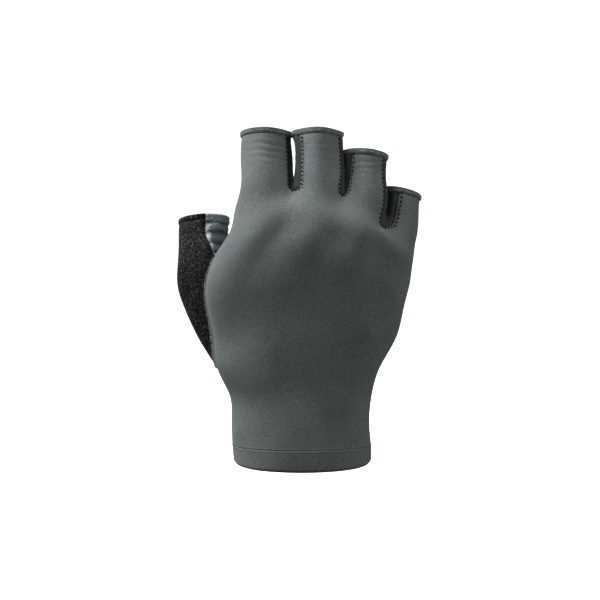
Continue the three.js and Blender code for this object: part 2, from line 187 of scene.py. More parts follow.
@dataclass
class Finger:
    """One finger's sleeve, in millimetres and degrees."""

    root_width: float
    width: float
    depth: float
    length: float
    set_in: float
    rise: float
    slope: float
    flex: float
    roll: float
    root_depth: float = 8.5
    root_z: float = 0.0
    root_x: float = 0.0
    opening_x: float = 0.0

    @property
    def top(self) -> float:
        """The height of its opening."""
        return self.root_z + self.length

    def share_at(self, z: float) -> float:
        """How far up the sleeve a height lies, from its root (0) to its opening (1)."""
        return min(max((z - self.root_z) / self.length, -0.5), 1.0)

    def axis_x(self, z: float) -> float:
        """The middle of the sleeve across the hand."""
        return between(self.root_x, self.opening_x, self.share_at(z))

    def axis_y(self, z: float) -> float:
        """The middle of the sleeve between back and palm."""
        bend = math.tan(math.radians(self.flex))
        return self.set_in - self.root_depth + bend * (z - self.root_z)

    def point(self, angle: float, z: float) -> np.ndarray:
        """Finds a point of the sleeve.

        Args:
            angle: From the middle of its back round towards the little finger, in degrees.
            z: The height at its axis.

        Returns:
            The point.
        """
        opened = max(0.0, self.share_at(z))
        turn = math.radians(angle + self.roll)
        across = math.sin(turn) * between(self.root_width, self.width, opened) / 2
        forward = math.cos(turn)
        lift = forward * self.rise - math.tan(math.radians(self.slope)) * across
        depth = self.axis_y(z) - forward * self.depth / 2
        return np.array((self.axis_x(z) + across, depth, z + opened * lift))


class Seams(NamedTuple):
    """The edges of a cloth: their two points, each face's four edges, and how many faces share."""

    ends: np.ndarray
    of_face: np.ndarray
    shared: np.ndarray


@dataclass
class Cloth:
    """A surface of four-sided faces, each with its panel's number and its own place in the weave.

    Args:
        points: The points, in millimetres.
        faces: Four point numbers for each face.
        panels: The panel's number for each face.
        weave: Each face's corners along and across the knit, in millimetres.
    """

    points: np.ndarray
    faces: np.ndarray
    panels: np.ndarray
    weave: np.ndarray

    def edges(self) -> Seams:
        """Lists the edges once each.

        Returns:
            The edges; edge k of a face joins its corners k and k + 1.
        """
        sides = np.stack([self.faces, np.roll(self.faces, -1, axis=1)], axis=2).reshape(-1, 2)
        ends, of_side, shared = np.unique(
            np.sort(sides, axis=1), axis=0, return_inverse=True, return_counts=True
        )
        return Seams(ends, of_side.reshape(-1, 4), shared)

    def gathered(self, size: int, places: np.ndarray, values: np.ndarray) -> np.ndarray:
        """Adds values up by place."""
        return np.stack(
            [np.bincount(places, weights=values[:, k], minlength=size) for k in range(3)], axis=1
        )

    def around(self, edges: Seams) -> tuple[np.ndarray, np.ndarray, np.ndarray, np.ndarray]:
        """Sums up each point's neighbours along its edges.

        Args:
            edges: The cloth's edges.

        Returns:
            The sum over all neighbours, the sum over those along an open rim, how many edges meet
            at each point, and which points lie on an open rim.
        """
        count = len(self.points)
        a, b = edges.ends[:, 0], edges.ends[:, 1]
        both, other = np.concatenate([a, b]), np.concatenate([b, a])
        near = self.gathered(count, both, self.points[other])
        open_edge = np.concatenate([edges.shared == 1] * 2)
        rim = self.gathered(count, both[open_edge], self.points[other[open_edge]])
        valence = np.bincount(both, minlength=count)
        on_rim = np.zeros(count, bool)
        on_rim[both[open_edge]] = True
        return near, rim, valence[:, None], on_rim[:, None]

    def settled(self) -> np.ndarray:
        """Finds where each point ends up on the smooth surface.

        Returns:
            The points' places after endless subdivision.
        """
        near, rim, n, on_rim = self.around(self.edges())
        diagonal = self.gathered(
            len(self.points), self.faces.ravel(),
            self.points[np.roll(self.faces, -2, axis=1)].reshape(-1, 3),
        )
        inside = (n * n * self.points + 4 * near + diagonal) / (n * (n + 5))
        return np.where(on_rim, (4 * self.points + rim) / 6, inside)

    def subdivided(self) -> "Cloth":
        """Splits every face in four, by Catmull and Clark's rule.

        Returns:
            The finer cloth, whose first points are this one's, then one for each edge and face.
        """
        edges = self.edges()
        near, rim, n, on_rim = self.around(edges)
        centres = self.points[self.faces].mean(axis=1)
        spread = np.repeat(centres, 4, axis=0)
        ring = self.gathered(len(self.points), self.faces.ravel(), spread) / n
        spokes = (near / n + self.points) / 2
        inside = (ring + 2 * spokes + (n - 3) * self.points) / n
        corners = np.where(on_rim, (6 * self.points + rim) / 8, inside)
        middles = self.points[edges.ends].sum(axis=1)
        beside = self.gathered(len(edges.ends), edges.of_face.ravel(), spread)
        split = np.where(edges.shared[:, None] == 1, middles / 2, (middles + beside) / 4)
        edge_id = len(corners) + edges.of_face
        centre_id = len(corners) + len(split) + np.arange(len(self.faces))
        before = np.roll(edge_id, 1, axis=1)
        centre = np.repeat(centre_id[:, None], 4, axis=1)
        faces = np.stack([self.faces, edge_id, centre, before], axis=2).reshape(-1, 4)
        half = (self.weave + np.roll(self.weave, -1, axis=1)) / 2
        mean = np.repeat(self.weave.mean(axis=1)[:, None], 4, axis=1)
        weave = np.stack([self.weave, half, mean, np.roll(half, 1, axis=1)], axis=2)
        points = np.concatenate([corners, split, centres])
        return Cloth(points, faces, np.repeat(self.panels, 4), weave.reshape(-1, 4, 2))

    def normals(self) -> np.ndarray:
        """Finds which way the cloth faces.

        Returns:
            A direction for each point, outwards.
        """
        a, b, c, d = (self.points[self.faces[:, k]] for k in range(4))
        facing = np.repeat(np.cross(c - a, d - b), 4, axis=0)
        total = self.gathered(len(self.points), self.faces.ravel(), facing)
        return total / np.linalg.norm(total, axis=1, keepdims=True)


@dataclass
class GloveForm:
    """The filled-out shape that the cloth lies over, and the cage that carries it."""

    cuff_width: float = 63.0
    cuff_depth: float = 44.0
    cuff_hem_height: float = 7.2
    cuff_back_droop: float = 2.2
    body_height: float = 121.3
    thumb_side_reach: float = 43.0
    heel_height: float = 43.0
    heel_dip: float = 9.0
    little_side_drop: float = 24.0
    knuckle_height: float = 1.4
    index_offset: float = 16.0
    index_lean: float = 0.5
    root_depth: float = 8.5
    web_depth_allowance: float = 2.0
    finger_clearance: float = 0.6
    web_width: float = 1.2
    finger_hem_height: float = 2.2
    hem_stands_proud: float = 0.7
    web_rise: float = 5.5
    palm_web_rise: float = 4.0
    web_drops: tuple[float, ...] = (0.0, 0.0, 2.4, 16.0, 24.0)
    thumb_width: float = 22.4
    thumb_depth: float = 22.0
    thumb_slope: float = -3.8
    thumb_rise: float = 1.4
    thumb_set_in: float = 8.0
    thumb_drop: float = 12.1
    thumb_stands_out: float = 2.2
    thumb_hem_height: float = 2.4
    thumb_bulge: float = 0.66
    thumb_stretch: float = 0.42
    thumb_outwards: tuple[float, ...] = (-0.52, 0.1, 0.85)
    thumb_downwards: tuple[float, ...] = (0.0, -0.15, -1.0)
    thumb_ring_shares: tuple[float, ...] = (0.14, 0.4, 0.7, 1.0)
    thumb_angles: tuple[float, ...] = (80, 105, 130, 155, 180, 205, 230, 255, 280, 308, 350, 35)
    gusset_from: int = 9
    sleeve_shares: tuple[float, ...] = (0.5, 1.0)
    heel_row: int = 4
    hole_head_row: int = 7
    hole_stations: int = 3
    squareness: float = 2.3
    fall_from: float = 0.4
    fall_power: float = 1.5
    set_in_from: float = 0.5
    set_in_power: float = 1.6
    web_power: int = 4
    seam_slides: tuple[tuple[tuple[float, ...], ...], ...] = (
        ((0.3, 0.3, 0.3), (0.15, 0.15, 0.15), (0.14, 0.12)),
        ((0.45, 0.45, 0.45), (0.25, 0.0, 0.0), (0.2, 0.3)),
        ((0.0, 0.0, 0.0), (0.15, 0.0, 0.0), (0.05, 0.3)),
    )
    # The index, middle, ring and little finger.
    fingers: tuple[Finger, ...] = field(default_factory=lambda: (
        Finger(22.8, 21.8, 20.4, 25.8, 1.0, 0.9, 0.0, 17.0, 8.0),
        Finger(20.4, 21.4, 20.4, 27.0, 0.0, 0.9, 0.5, 17.0, 4.0),
        Finger(17.6, 19.2, 19.0, 25.8, 2.5, 1.0, 6.3, 17.0, 5.0),
        Finger(15.4, 16.4, 17.2, 19.7, 8.0, 0.9, 13.4, 16.0, 36.0),
    ))
    points: list[np.ndarray] = field(default_factory=list)
    faces: list[tuple[Panel, tuple[int, ...], Any]] = field(default_factory=list)

    def __post_init__(self) -> None:
        """Works out the rows and sets the fingers side by side."""
        hem_row = self.cuff_hem_height / self.body_height
        heel_row = self.heel_height / self.body_height
        self.rows = (
            Row(0.0, 0.0, 0.0, 0.0, 0.0),
            Row(hem_row, 0.0, 0.0, 0.0, 0.0),
            Row(0.15, 0.0, 0.1, 0.0, 0.0),
            Row(0.25, 0.02, 0.55, 0.0, 0.05),
            Row(heel_row, 0.06, 1.0, 0.0, 0.2),
            Row(0.487, 0.2, 0.5, 0.0, 0.4),
            Row(0.627, 0.4, 0.15, 0.15, 0.6),
            Row(0.76, 0.6, 0.0, 0.7, 0.8),
            Row(0.845, 0.74, 0.0, 1.0, 0.9),
            Row(0.92, 0.87, 0.0, 0.5, 1.0),
        )
        self.web_heights = [self.body_height - drop for drop in self.web_drops]
        for i, finger in enumerate(self.fingers):
            finger.root_depth = self.root_depth
            finger.root_z = (self.web_heights[i] + self.web_heights[i + 1]) / 2
            if i == 0:
                finger.root_x = -self.index_offset
                finger.opening_x = finger.root_x - self.index_lean
                continue
            before = self.fingers[i - 1]
            inwards = finger.set_in - before.set_in
            opening_inwards = finger.axis_y(finger.top) - before.axis_y(finger.top)
            gap = 2 * self.hem_stands_proud + self.finger_clearance
            reach = (before.root_width + finger.root_width) / 2 + self.web_width
            opening_reach = (before.width + finger.width) / 2 + gap
            finger.root_x = before.root_x + math.sqrt(reach**2 - inwards**2)
            finger.opening_x = before.axis_x(finger.top) + math.sqrt(
                opening_reach**2 - opening_inwards**2
            )

    def add(self, point: np.ndarray) -> int:
        """Keeps a point and gives its number."""
        self.points.append(point)
        return len(self.points) - 1

    def laid(self, rings: list[list[int]]) -> "Lay":
        """Lays closed rings of point numbers flat."""
        return Lay([[self.points[p] for p in ring + ring[:1]] for ring in rings])

    def wrap(
        self,
        rings: list[list[int]],
        lay: "Lay",
        panel_of: Callable[[int, int], Panel | None],
        mirrored: bool = False,
    ) -> None:
        """Adds the faces between closed rings of points.

        Args:
            rings: The rings' point numbers, from the lowest up.
            lay: The rings laid flat, which gives each face its place in the weave.
            panel_of: Names a face's panel by its row and its place round it; None is a hole.
            mirrored: Whether the rings run the other way round.
        """
        for r, (low, high) in enumerate(zip(rings, rings[1:])):
            for k in range(len(low)):
                n = (k + 1) % len(low)
                panel = panel_of(r, k)
                if panel is None:
                    continue
                ids, corners = (low[k], low[n], high[n], high[k]), lay.corners(r, k)
                if mirrored:
                    ids, corners = (ids[1], ids[0], ids[3], ids[2]), corners[[1, 0, 3, 2]]
                self.faces.append((panel, ids, corners))

    def root_heights(self, i: int) -> list[float]:
        """Finds where a finger's eight station lines start, on the webs beside it.

        Args:
            i: The finger.

        Returns:
            A height for each line.
        """
        left, right = self.web_heights[i], self.web_heights[i + 1]
        first, last = i == 0, i == len(self.fingers) - 1
        palm_left = left + (0 if first else self.palm_web_rise)
        palm_right = right + (0 if last else self.palm_web_rise)
        return [
            left + (0 if first else self.web_rise), left, (left + right) / 2, right,
            right + (0 if last else self.web_rise), palm_right, (palm_left + palm_right) / 2,
            palm_left,
        ]

    def edge(self, z: float, row: Row, little: bool) -> float:
        """Finds the hand's edge at a height.

        Args:
            z: The height.
            row: The row that asks, as the upper rows follow the index finger.
            little: Whether it is the little finger's side.

        Returns:
            The edge's place across the hand.
        """
        share = z / self.body_height
        half = self.cuff_width / 2
        if little:
            return between(half, self.web_high, read_profile("right", share))
        at_web = -between(half, self.thumb_side_reach, read_profile("left", 1.0))
        side = -between(half, self.thumb_side_reach, read_profile("left", share))
        return side + row.spread**self.web_power * (self.web_low - at_web)

    def body_point(self, row: Row, station: int) -> np.ndarray:
        """Finds one point of the hand.

        Args:
            row: The row.
            station: The place round the row, thumb side first and over the back.

        Returns:
            The point.
        """
        even = -math.pi / 2 + 2 * math.pi * station / self.around
        turn = between(even, self.web_turns[station], row.spread)
        sine, cosine = math.sin(turn), math.cos(turn)
        power = self.squareness
        reach = (abs(sine) ** power + abs(cosine) ** power) ** (-1 / power)
        share = (1 + reach * sine) / 2
        fallen = max(0.0, (share - self.fall_from) / (1 - self.fall_from))
        fall = self.little_side_drop * fallen**self.fall_power
        base = row.height * self.body_height - row.fan * fall
        level = base / self.body_height
        dip = row.dip * self.heel_dip * max(0.0, -cosine)
        droop = self.cuff_back_droop * max(0.0, cosine) if row.height == 0 else 0.0
        on_knuckle = station < self.little_side and station % BACK_STATIONS == 2
        knuckle = row.knuckle * self.knuckle_height if on_knuckle else 0.0
        inwards = max(0.0, (share - self.set_in_from) / (1 - self.set_in_from))
        set_in = self.fingers[-1].set_in * row.fan * inwards**self.set_in_power
        web_depth = max(finger.depth for finger in self.fingers) + self.web_depth_allowance
        depth = between(self.cuff_depth, web_depth, read_profile("slim", level))
        middle = -self.root_depth * read_profile("forward", level)
        left, right = self.edge(base, row, False), self.edge(base, row, True)
        return np.array((
            between(left, right, share),
            middle + set_in - depth / 2 * reach * cosine - knuckle,
            base - dip - droop,
        ))

    def body_panel(self, r: int, station: int) -> Panel | None:
        """Names the panel of a face of the hand.

        Args:
            r: The face's row.
            station: Its place round the row.

        Returns:
            The panel, or None in the hole that the thumb grows from. The back's cloth runs
            all round the wrist.
        """
        beside_thumb = station >= self.around - self.hole_stations
        if beside_thumb and self.heel_row <= r < self.hole_head_row:
            return None
        if r == 0:
            return Panel.CUFF_HEM
        on_thumb_side = station == self.around - 1 and r >= self.hole_head_row
        wraps = r < self.heel_row or station <= self.little_side or on_thumb_side
        return Panel.BACK if wraps else Panel.PALM

    def sleeve_panel(self, i: int, r: int, k: int) -> Panel:
        """Names the panel of a face of a finger's sleeve.

        Args:
            i: The finger.
            r: The face's row.
            k: Its place round the sleeve.

        Returns:
            The panel.
        """
        if r == len(self.sleeve_shares):
            return FINGER_HEMS[i]
        if k in (1, 2):
            return Panel.BACK
        if k in (5, 6):
            return Panel.PALM
        if k in (0, 7):
            return Panel.BACK if i == 0 else SIDES[i - 1]
        return Panel.BACK if i == len(self.fingers) - 1 else SIDES[i]

    def thumb_panel(self, r: int, k: int) -> Panel:
        """Names the panel of a face of the thumb's sleeve.

        Args:
            r: The face's row.
            k: Its place round the sleeve.

        Returns:
            The panel.
        """
        hem = r == len(self.thumb_ring_shares)
        if k < self.gusset_from:
            return Panel.THUMB_HEM if hem else Panel.THUMB
        return Panel.GUSSET_HEM if hem else Panel.GUSSET

    def build_webs(self) -> None:
        """Lays the finger roots and the row that joins them to the hand."""
        self.rings = [
            [[self.add(f.point(a, z)) for a, z in zip(RING_ANGLES, self.root_heights(i))]]
            for i, f in enumerate(self.fingers)
        ]
        roots = [rings[0] for rings in self.rings]
        self.web_row = [roots[0][0]]
        for root in roots:
            self.web_row += root[1:4]
        self.web_row.append(roots[-1][4])
        for root in reversed(roots):
            self.web_row += root[5:8]
        self.around = len(self.web_row)
        self.little_side = 1 + BACK_STATIONS * len(self.fingers)
        across = [self.points[i][0] for i in self.web_row]
        self.web_low, self.web_high = min(across), max(across)
        self.web_turns = []
        for station, x in enumerate(across):
            share = (x - self.web_low) / (self.web_high - self.web_low)
            turn = math.asin(min(1.0, max(-1.0, 2 * share - 1)))
            self.web_turns.append(turn if station < self.little_side else math.pi - turn)

    def build_body(self) -> None:
        """Lays the hand and the wrist, with the hole that the thumb grows from."""
        side = self.around - self.hole_stations
        places = [[self.body_point(row, s) for s in range(self.around)] for row in self.rows]
        self.body = []
        for r, line in enumerate(places):
            inside = self.heel_row < r < self.hole_head_row
            self.body.append([
                -1 if inside and s > side else self.add(point) for s, point in enumerate(line)
            ])
        self.body.append(self.web_row)
        places.append([self.points[i] for i in self.web_row])
        self.wrap(self.body, Lay([line + line[:1] for line in places]), self.body_panel)

    def build_fingers(self) -> None:
        """Lays the sleeves with their hems, and the webs between them."""
        for i, finger in enumerate(self.fingers):
            rings = self.rings[i]
            end = finger.top - self.finger_hem_height
            for share in self.sleeve_shares:
                levels = [between(z, end, share) for z in self.root_heights(i)]
                rings.append([self.add(finger.point(a, z)) for a, z in zip(RING_ANGLES, levels)])
            rings.append([self.add(finger.point(a, finger.top)) for a in RING_ANGLES])
            self.wrap(rings, self.laid(rings), partial(self.sleeve_panel, i))
        for i in range(len(self.fingers) - 1):
            own, after = self.rings[i][0], self.rings[i + 1][0]
            for ids in ((own[3], after[1], after[0], own[4]), (own[4], after[0], after[7], own[5])):
                corners = [self.points[p] for p in ids]
                lay = Lay([corners[:2], [corners[3], corners[2]]])
                self.faces.append((SIDES[i], ids, lay.corners(0, 0)))

    def thumb_point(self, angle: float, z: float) -> np.ndarray:
        """Finds a point round the thumb's opening.

        Args:
            angle: From the index finger's side over the back, in degrees.
            z: The height at its axis.

        Returns:
            The point.
        """
        turn = math.radians(angle)
        across = math.cos(turn) * self.thumb_width / 2
        forward = math.sin(turn)
        return np.array((
            -self.thumb_side_reach - self.thumb_stands_out + across,
            self.thumb_set_in - forward * self.thumb_depth / 2,
            z - math.tan(math.radians(self.thumb_slope)) * across + forward * self.thumb_rise,
        ))

    def build_thumb(self) -> None:
        """Grows the thumb's sleeve from the points round its hole."""
        side = self.around - self.hole_stations
        inner_rows = range(self.heel_row + 1, self.hole_head_row)
        foot, head = self.body[self.heel_row], self.body[self.hole_head_row]
        hole = [head[0], *(self.body[r][0] for r in reversed(inner_rows)), foot[0]]
        hole += reversed(foot[side:])
        hole += [self.body[r][side] for r in inner_rows]
        hole += head[side:]
        top = self.body_height - self.thumb_drop
        rings = [hole]
        lines = []
        for start_id, angle in zip(hole, self.thumb_angles):
            start = self.points[start_id]
            end = self.thumb_point(angle, top - self.thumb_hem_height)
            reach = np.linalg.norm(end - start)
            leave = start + np.array(self.thumb_outwards) * reach * self.thumb_bulge
            arrive = end + np.array(self.thumb_downwards) * reach * self.thumb_stretch
            lines.append((start, leave, arrive, end))
        for t in self.thumb_ring_shares:
            weights = ((1 - t) ** 3, 3 * t * (1 - t) ** 2, 3 * t * t * (1 - t), t**3)
            rings.append([self.add(sum(w * p for w, p in zip(weights, line))) for line in lines])
        rings.append([self.add(self.thumb_point(angle, top)) for angle in self.thumb_angles])
        self.wrap(rings, self.laid(rings), self.thumb_panel, mirrored=True)

    def slide_seams(self, targets: np.ndarray) -> None:
        """Slides the seams beside the gaps over the fingers' sides.

        Args:
            targets: The cage's points, changed in place.
        """
        before = targets.copy()
        for i, (left, right, across) in enumerate(self.seam_slides):
            for r, (one, two) in enumerate(zip(left, right), start=1):
                for k, side, share in ((3, 4, one), (1, 0, two)):
                    ring = self.rings[i if k == 3 else i + 1][r]
                    targets[ring[k]] = between(before[ring[k]], before[ring[side]], share)
            low, high = self.rings[i][0][3], self.rings[i + 1][0][1]
            targets[low] = between(before[low], before[high], across[0])
            targets[high] = between(before[high], before[low], across[1])

    def cage(self, rounds: int = 8, step: float = 0.85) -> Cloth:
        """Builds the cage and moves it out until the smooth surface meets the points.

        Args:
            rounds: How many times it is moved.
            step: The share of the way that each move goes.

        Returns:
            The cage.
        """
        self.build_webs()
        self.build_body()
        self.build_fingers()
        self.build_thumb()
        targets = np.array(self.points)
        self.slide_seams(targets)
        cloth = Cloth(
            targets.copy(),
            np.array([ids for _, ids, _ in self.faces]),
            np.array([panel.number for panel, _, _ in self.faces]),
            np.array([corners for _, _, corners in self.faces]),
        )
        for _ in range(rounds):
            cloth.points += step * (targets - cloth.settled())
        return cloth


class Lay:
    """A grid of points unrolled flat, so that a knit follows it: lengths along rows and columns."""

    def __init__(self, grid: list[list[np.ndarray]]) -> None:
        """Measures the grid.

        Args:
            grid: Rows of points, from the lowest up.
        """
        points = np.array(grid)
        across = np.linalg.norm(np.diff(points, axis=1), axis=2)
        along = np.linalg.norm(np.diff(points, axis=0), axis=2)
        self.across = np.pad(np.cumsum(across, axis=1), ((0, 0), (1, 0)))
        self.along = np.pad(np.cumsum(along, axis=0), ((1, 0), (0, 0)))
        self.across -= self.across[:, -1:] / 2

    def corners(self, r: int, c: int) -> np.ndarray:
        """Gives the four corners of one cell, low, next low, next high, high."""
        places = ((r, c), (r, c + 1), (r + 1, c + 1), (r + 1, c))
        return np.array([(self.across[p], self.along[p]) for p in places])


class Join(Enum):
    """How a panel's edge is finished where it meets what lies beside it."""

    SEWN = "topstitched to a strip between two fingers, or round the thumb"
    JOINED = "sewn edge to edge along the hand's side"
    LAPPED = "lapped over the thumb's edge, or under the back's"
    TUCKED = "tucked under a rolled hem"
    HEMMED = "the ridge of the cuff's hem"
    FOLDED = "folded over at the cuff's rim"


def join_of(panel: Panel, other: Panel | None) -> Join:
    """Says how two neighbouring panels are joined.

    Args:
        panel: The panel.
        other: Its neighbour, or None at an open edge.

    Returns:
        The kind of join.
    """
    if other is None:
        return Join.FOLDED
    if other in ROLLED_HEMS:
        return Join.TUCKED
    if {panel, other} == {Panel.BACK, Panel.CUFF_HEM}:
        return Join.HEMMED
    if {panel, other} == {Panel.BACK, Panel.THUMB}:
        return Join.LAPPED
    if {panel, other} == {Panel.BACK, Panel.PALM}:
        return Join.JOINED
    return Join.SEWN


@dataclass
class Rim:
    """A panel's edge: directed steps from point to point, with the panel on their left."""

    start: np.ndarray
    end: np.ndarray
    edge: np.ndarray
    other: np.ndarray

    def chosen(self, keep: np.ndarray) -> "Rim":
        """The part of the edge that a mask keeps."""
        return Rim(self.start[keep], self.end[keep], self.edge[keep], self.other[keep])

    def chains(self) -> list[list[int]]:
        """Orders the steps.

        Returns:
            Chains of point numbers; a closed one repeats its first point at its end.
        """
        onward = dict(zip(self.start.tolist(), self.end.tolist()))
        ends = set(onward.values())
        found = []
        for first in [p for p in onward if p not in ends] + list(onward):
            if first not in onward:
                continue
            chain = [first]
            while chain[-1] in onward:
                chain.append(onward.pop(chain[-1]))
            found.append(chain)
        return found


@dataclass(frozen=True)
class Gap:
    """How the walls of two fingers lie against each other, at some heights, in millimetres.

    A wall moves to the thumb's side where its number is negative. The turn is how far the gap runs
    to the thumb's side for each millimetre of depth, so that one finger lies a little behind the
    next.
    """

    heights: tuple[float, ...]
    line: tuple[float, ...]
    depth: tuple[float, ...]
    left: tuple[float, ...]
    right: tuple[float, ...]
    turn: tuple[float, ...]
    reach: float = 4.0

    def moved(self, places: np.ndarray) -> np.ndarray:
        """Moves the cloth beside the gap.

        Args:
            places: Points, in millimetres.

        Returns:
            How far each goes across the hand.
        """
        x, y, z = places.T
        line, depth, left, right, turn = (
            np.interp(z, self.heights, column)
            for column in (self.line, self.depth, self.left, self.right, self.turn)
        )
        wall = np.where(x < line, left, right)
        return (wall - turn * (y - depth)) * np.exp(-(((x - line) / self.reach) ** 2))


GAPS = (
    Gap(
        heights=(124.0, 129.0, 133.0, 138.0, 142.0, 144.5, 150.0),
        line=(-4.2, -4.2, -4.3, -4.35, -4.45, -4.5, -4.6),
        depth=(-7.0, -6.0, -4.3, -2.3, -0.7, 0.2, 2.0),
        left=(0.0, 0.1, 0.2, 0.2, 0.2, 0.3, 0.3),
        right=(0.0, 0.3, 0.55, 0.5, -0.1, -0.9, -0.9),
        turn=(0.0, 0.0, 0.0, 0.0, 0.0, 0.0, 0.0),
    ),
    Gap(
        heights=(119.0, 124.0, 128.0, 132.0, 136.0, 140.0, 147.0),
        line=(18.3, 18.3, 18.3, 18.2, 18.3, 18.4, 18.4),
        depth=(-5.0, -4.0, -3.0, -2.0, -1.5, -1.0, -1.0),
        left=(0.0, -0.3, -0.7, -0.7, -0.6, -0.3, 0.0),
        right=(0.0, -0.3, -0.7, -0.7, -0.7, -0.5, -0.5),
        turn=(0.0, 0.2, 0.4, 0.4, 0.36, 0.2, 0.0),
    ),
    Gap(
        heights=(104.0, 109.0, 113.0, 117.0, 121.0, 125.0, 133.0),
        line=(36.5, 36.5, 36.4, 36.8, 37.2, 37.4, 37.5),
        depth=(-3.0, -2.0, -1.5, -1.0, 0.0, 1.0, 1.0),
        left=(0.0, 0.0, -0.1, -0.2, -0.2, -0.1, 0.0),
        right=(0.0, 0.0, -0.1, -0.2, -0.2, -0.1, -0.1),
        turn=(0.0, 0.1, 0.22, 0.25, 0.22, 0.12, 0.0),
    ),
)


def point_tree(points: np.ndarray) -> KDTree:
    """Sorts points so that the nearest to a place is found fast.

    Args:
        points: The points.

    Returns:
        The tree that finds them.
    """
    tree = KDTree(len(points))
    for k, point in enumerate(points):
        tree.insert(point, k)
    tree.balance()
    return tree


class Fabric:
    """The cloth at its finished fineness, with the coarser step that the lining faces use."""

    def __init__(self, cage: Cloth) -> None:
        """Refines the cage.

        Args:
            cage: The glove's cage.
        """
        coarse = cage
        for _ in range(FINE_LEVEL - 1):
            coarse = coarse.subdivided()
        self.coarse = coarse
        self.coarse_edges = coarse.edges()
        self.fine = coarse.subdivided()
        self.fine.points = self.fine.settled()
        self.edges = self.fine.edges()
        self.fine.points[:, 0] += sum(gap.moved(self.fine.points) for gap in GAPS)
        self.places = self.fine.points
        self.normals = self.fine.normals()
        self.weave = np.zeros((len(self.places), 2))
        self.weave[self.fine.faces.ravel()] = self.fine.weave.reshape(-1, 2)

    @staticmethod
    def rim(cloth: Cloth, edges: Seams, panel: Panel) -> Rim:
        """Finds a panel's edge.

        Args:
            cloth: The cloth.
            edges: Its edges.
            panel: The panel.

        Returns:
            The directed steps round the panel, with the number of the panel across each.
        """
        numbers = np.repeat(cloth.panels, 4)
        order = np.argsort(edges.of_face.ravel(), kind="stable")
        first = np.cumsum(edges.shared) - edges.shared
        one = numbers[order[first]]
        other = numbers[order[np.minimum(first + 1, len(order) - 1)]]
        two = np.where(edges.shared == 2, other, -1)
        own = cloth.panels == panel.number
        edge = edges.of_face[own]
        across = np.where(one[edge] == panel.number, two[edge], one[edge])
        kept = across != panel.number
        start, end = cloth.faces[own], np.roll(cloth.faces[own], -1, axis=1)
        return Rim(start[kept], end[kept], edge[kept], across[kept])

    def inward(self, rim: Rim) -> dict[int, np.ndarray]:
        """Finds the direction into the panel at each point of its edge.

        Args:
            rim: The edge.

        Returns:
            A direction for each point number, square to the edge and level with the cloth.
        """
        along = self.places[rim.end] - self.places[rim.start]
        total: dict[int, np.ndarray] = {}
        for ids in (rim.start, rim.end):
            into = np.cross(self.normals[ids], along)
            for point, step in zip(ids.tolist(), into):
                total[point] = total.get(point, 0.0) + step
        return {point: step / np.linalg.norm(step) for point, step in total.items()}

    def nearness(self, ids: np.ndarray, rim: Rim) -> tuple[np.ndarray, np.ndarray]:
        """Measures how far points lie from an edge.

        Args:
            ids: The points' numbers.
            rim: The edge.

        Returns:
            Each point's distance, and the number of the edge point nearest to it.
        """
        if not len(rim.start):
            return np.full(len(ids), FAR), np.full(len(ids), -1)
        tree = point_tree(self.places[rim.start])
        nearest = np.array([tree.find(self.places[i])[1] for i in ids])
        before = {end: k for k, end in enumerate(rim.end.tolist())}
        previous = np.array([before.get(start, k) for k, start in enumerate(rim.start.tolist())])
        distance = np.full(len(ids), np.inf)
        for step in (nearest, previous[nearest]):
            a, b = self.places[rim.start[step]], self.places[rim.end[step]]
            span = b - a
            share = ((self.places[ids] - a) * span).sum(1) / (span * span).sum(1)
            foot = a + span * np.clip(share, 0, 1)[:, None]
            distance = np.minimum(distance, np.linalg.norm(self.places[ids] - foot, axis=1))
        return distance, rim.start[nearest]


@dataclass(frozen=True)
class Swell:
    """Soft unevenness of cloth that a hand fills: long low waves with seeded directions."""

    shortest: float = 17.0
    longest: float = 38.0
    height: float = 0.1
    count: int = 9
    seed: int = 11

    def at(self, places: np.ndarray) -> np.ndarray:
        """Reads the unevenness.

        Args:
            places: Points, in millimetres.

        Returns:
            How far each stands out.
        """
        rng = np.random.default_rng(self.seed)
        total = np.zeros(len(places))
        for _ in range(self.count):
            way = rng.normal(size=3)
            length = rng.uniform(self.shortest, self.longest)
            way *= 2 * math.pi / length / np.linalg.norm(way)
            total += np.sin(places @ way + rng.uniform(0, 2 * math.pi))
        return total * self.height


@dataclass(frozen=True)
class Mound:
    """A low swelling or hollow on the back of the hand, down to a depth in it."""

    centre: tuple[float, float]
    reach: tuple[float, float]
    height: float
    depth: float = 0.0
    fade: float = 4.0

    def at(self, places: np.ndarray) -> np.ndarray:
        """Reads the swelling.

        Args:
            places: Points, in millimetres.

        Returns:
            How far each stands out.
        """
        x, y, z = places.T
        across, along = (x - self.centre[0]) / self.reach[0], (z - self.centre[1]) / self.reach[1]
        round_it = np.exp(-(across**2) - along**2)
        return self.height * round_it * smooth((self.depth - y) / self.fade)


@dataclass(frozen=True)
class Pulls:
    """Fine tension lines across a finger, below its hem, where the knit is stretched.

    A wobble is a height, a length and a start, and bends the lines.
    """

    centre: tuple[float, float, float]
    reach: tuple[float, float]
    spacing: float
    height: float
    slant: float = 0.0
    wobbles: tuple[tuple[float, float, float], ...] = ((0.35, 3.1, 0.0), (0.2, 1.3, 1.0))

    def at(self, places: np.ndarray) -> np.ndarray:
        """Reads the lines.

        Args:
            places: Points, in millimetres.

        Returns:
            How far each stands out.
        """
        x, y, z = (places - np.array(self.centre)).T
        fade = np.exp(-((x / self.reach[0]) ** 2) - (z / self.reach[1]) ** 2) * (y < 0)
        bent = z + self.slant * x
        for high, length, start in self.wobbles:
            bent += high * np.sin(x / length + start)
        return self.height * fade * np.sin(2 * math.pi * bent / self.spacing)


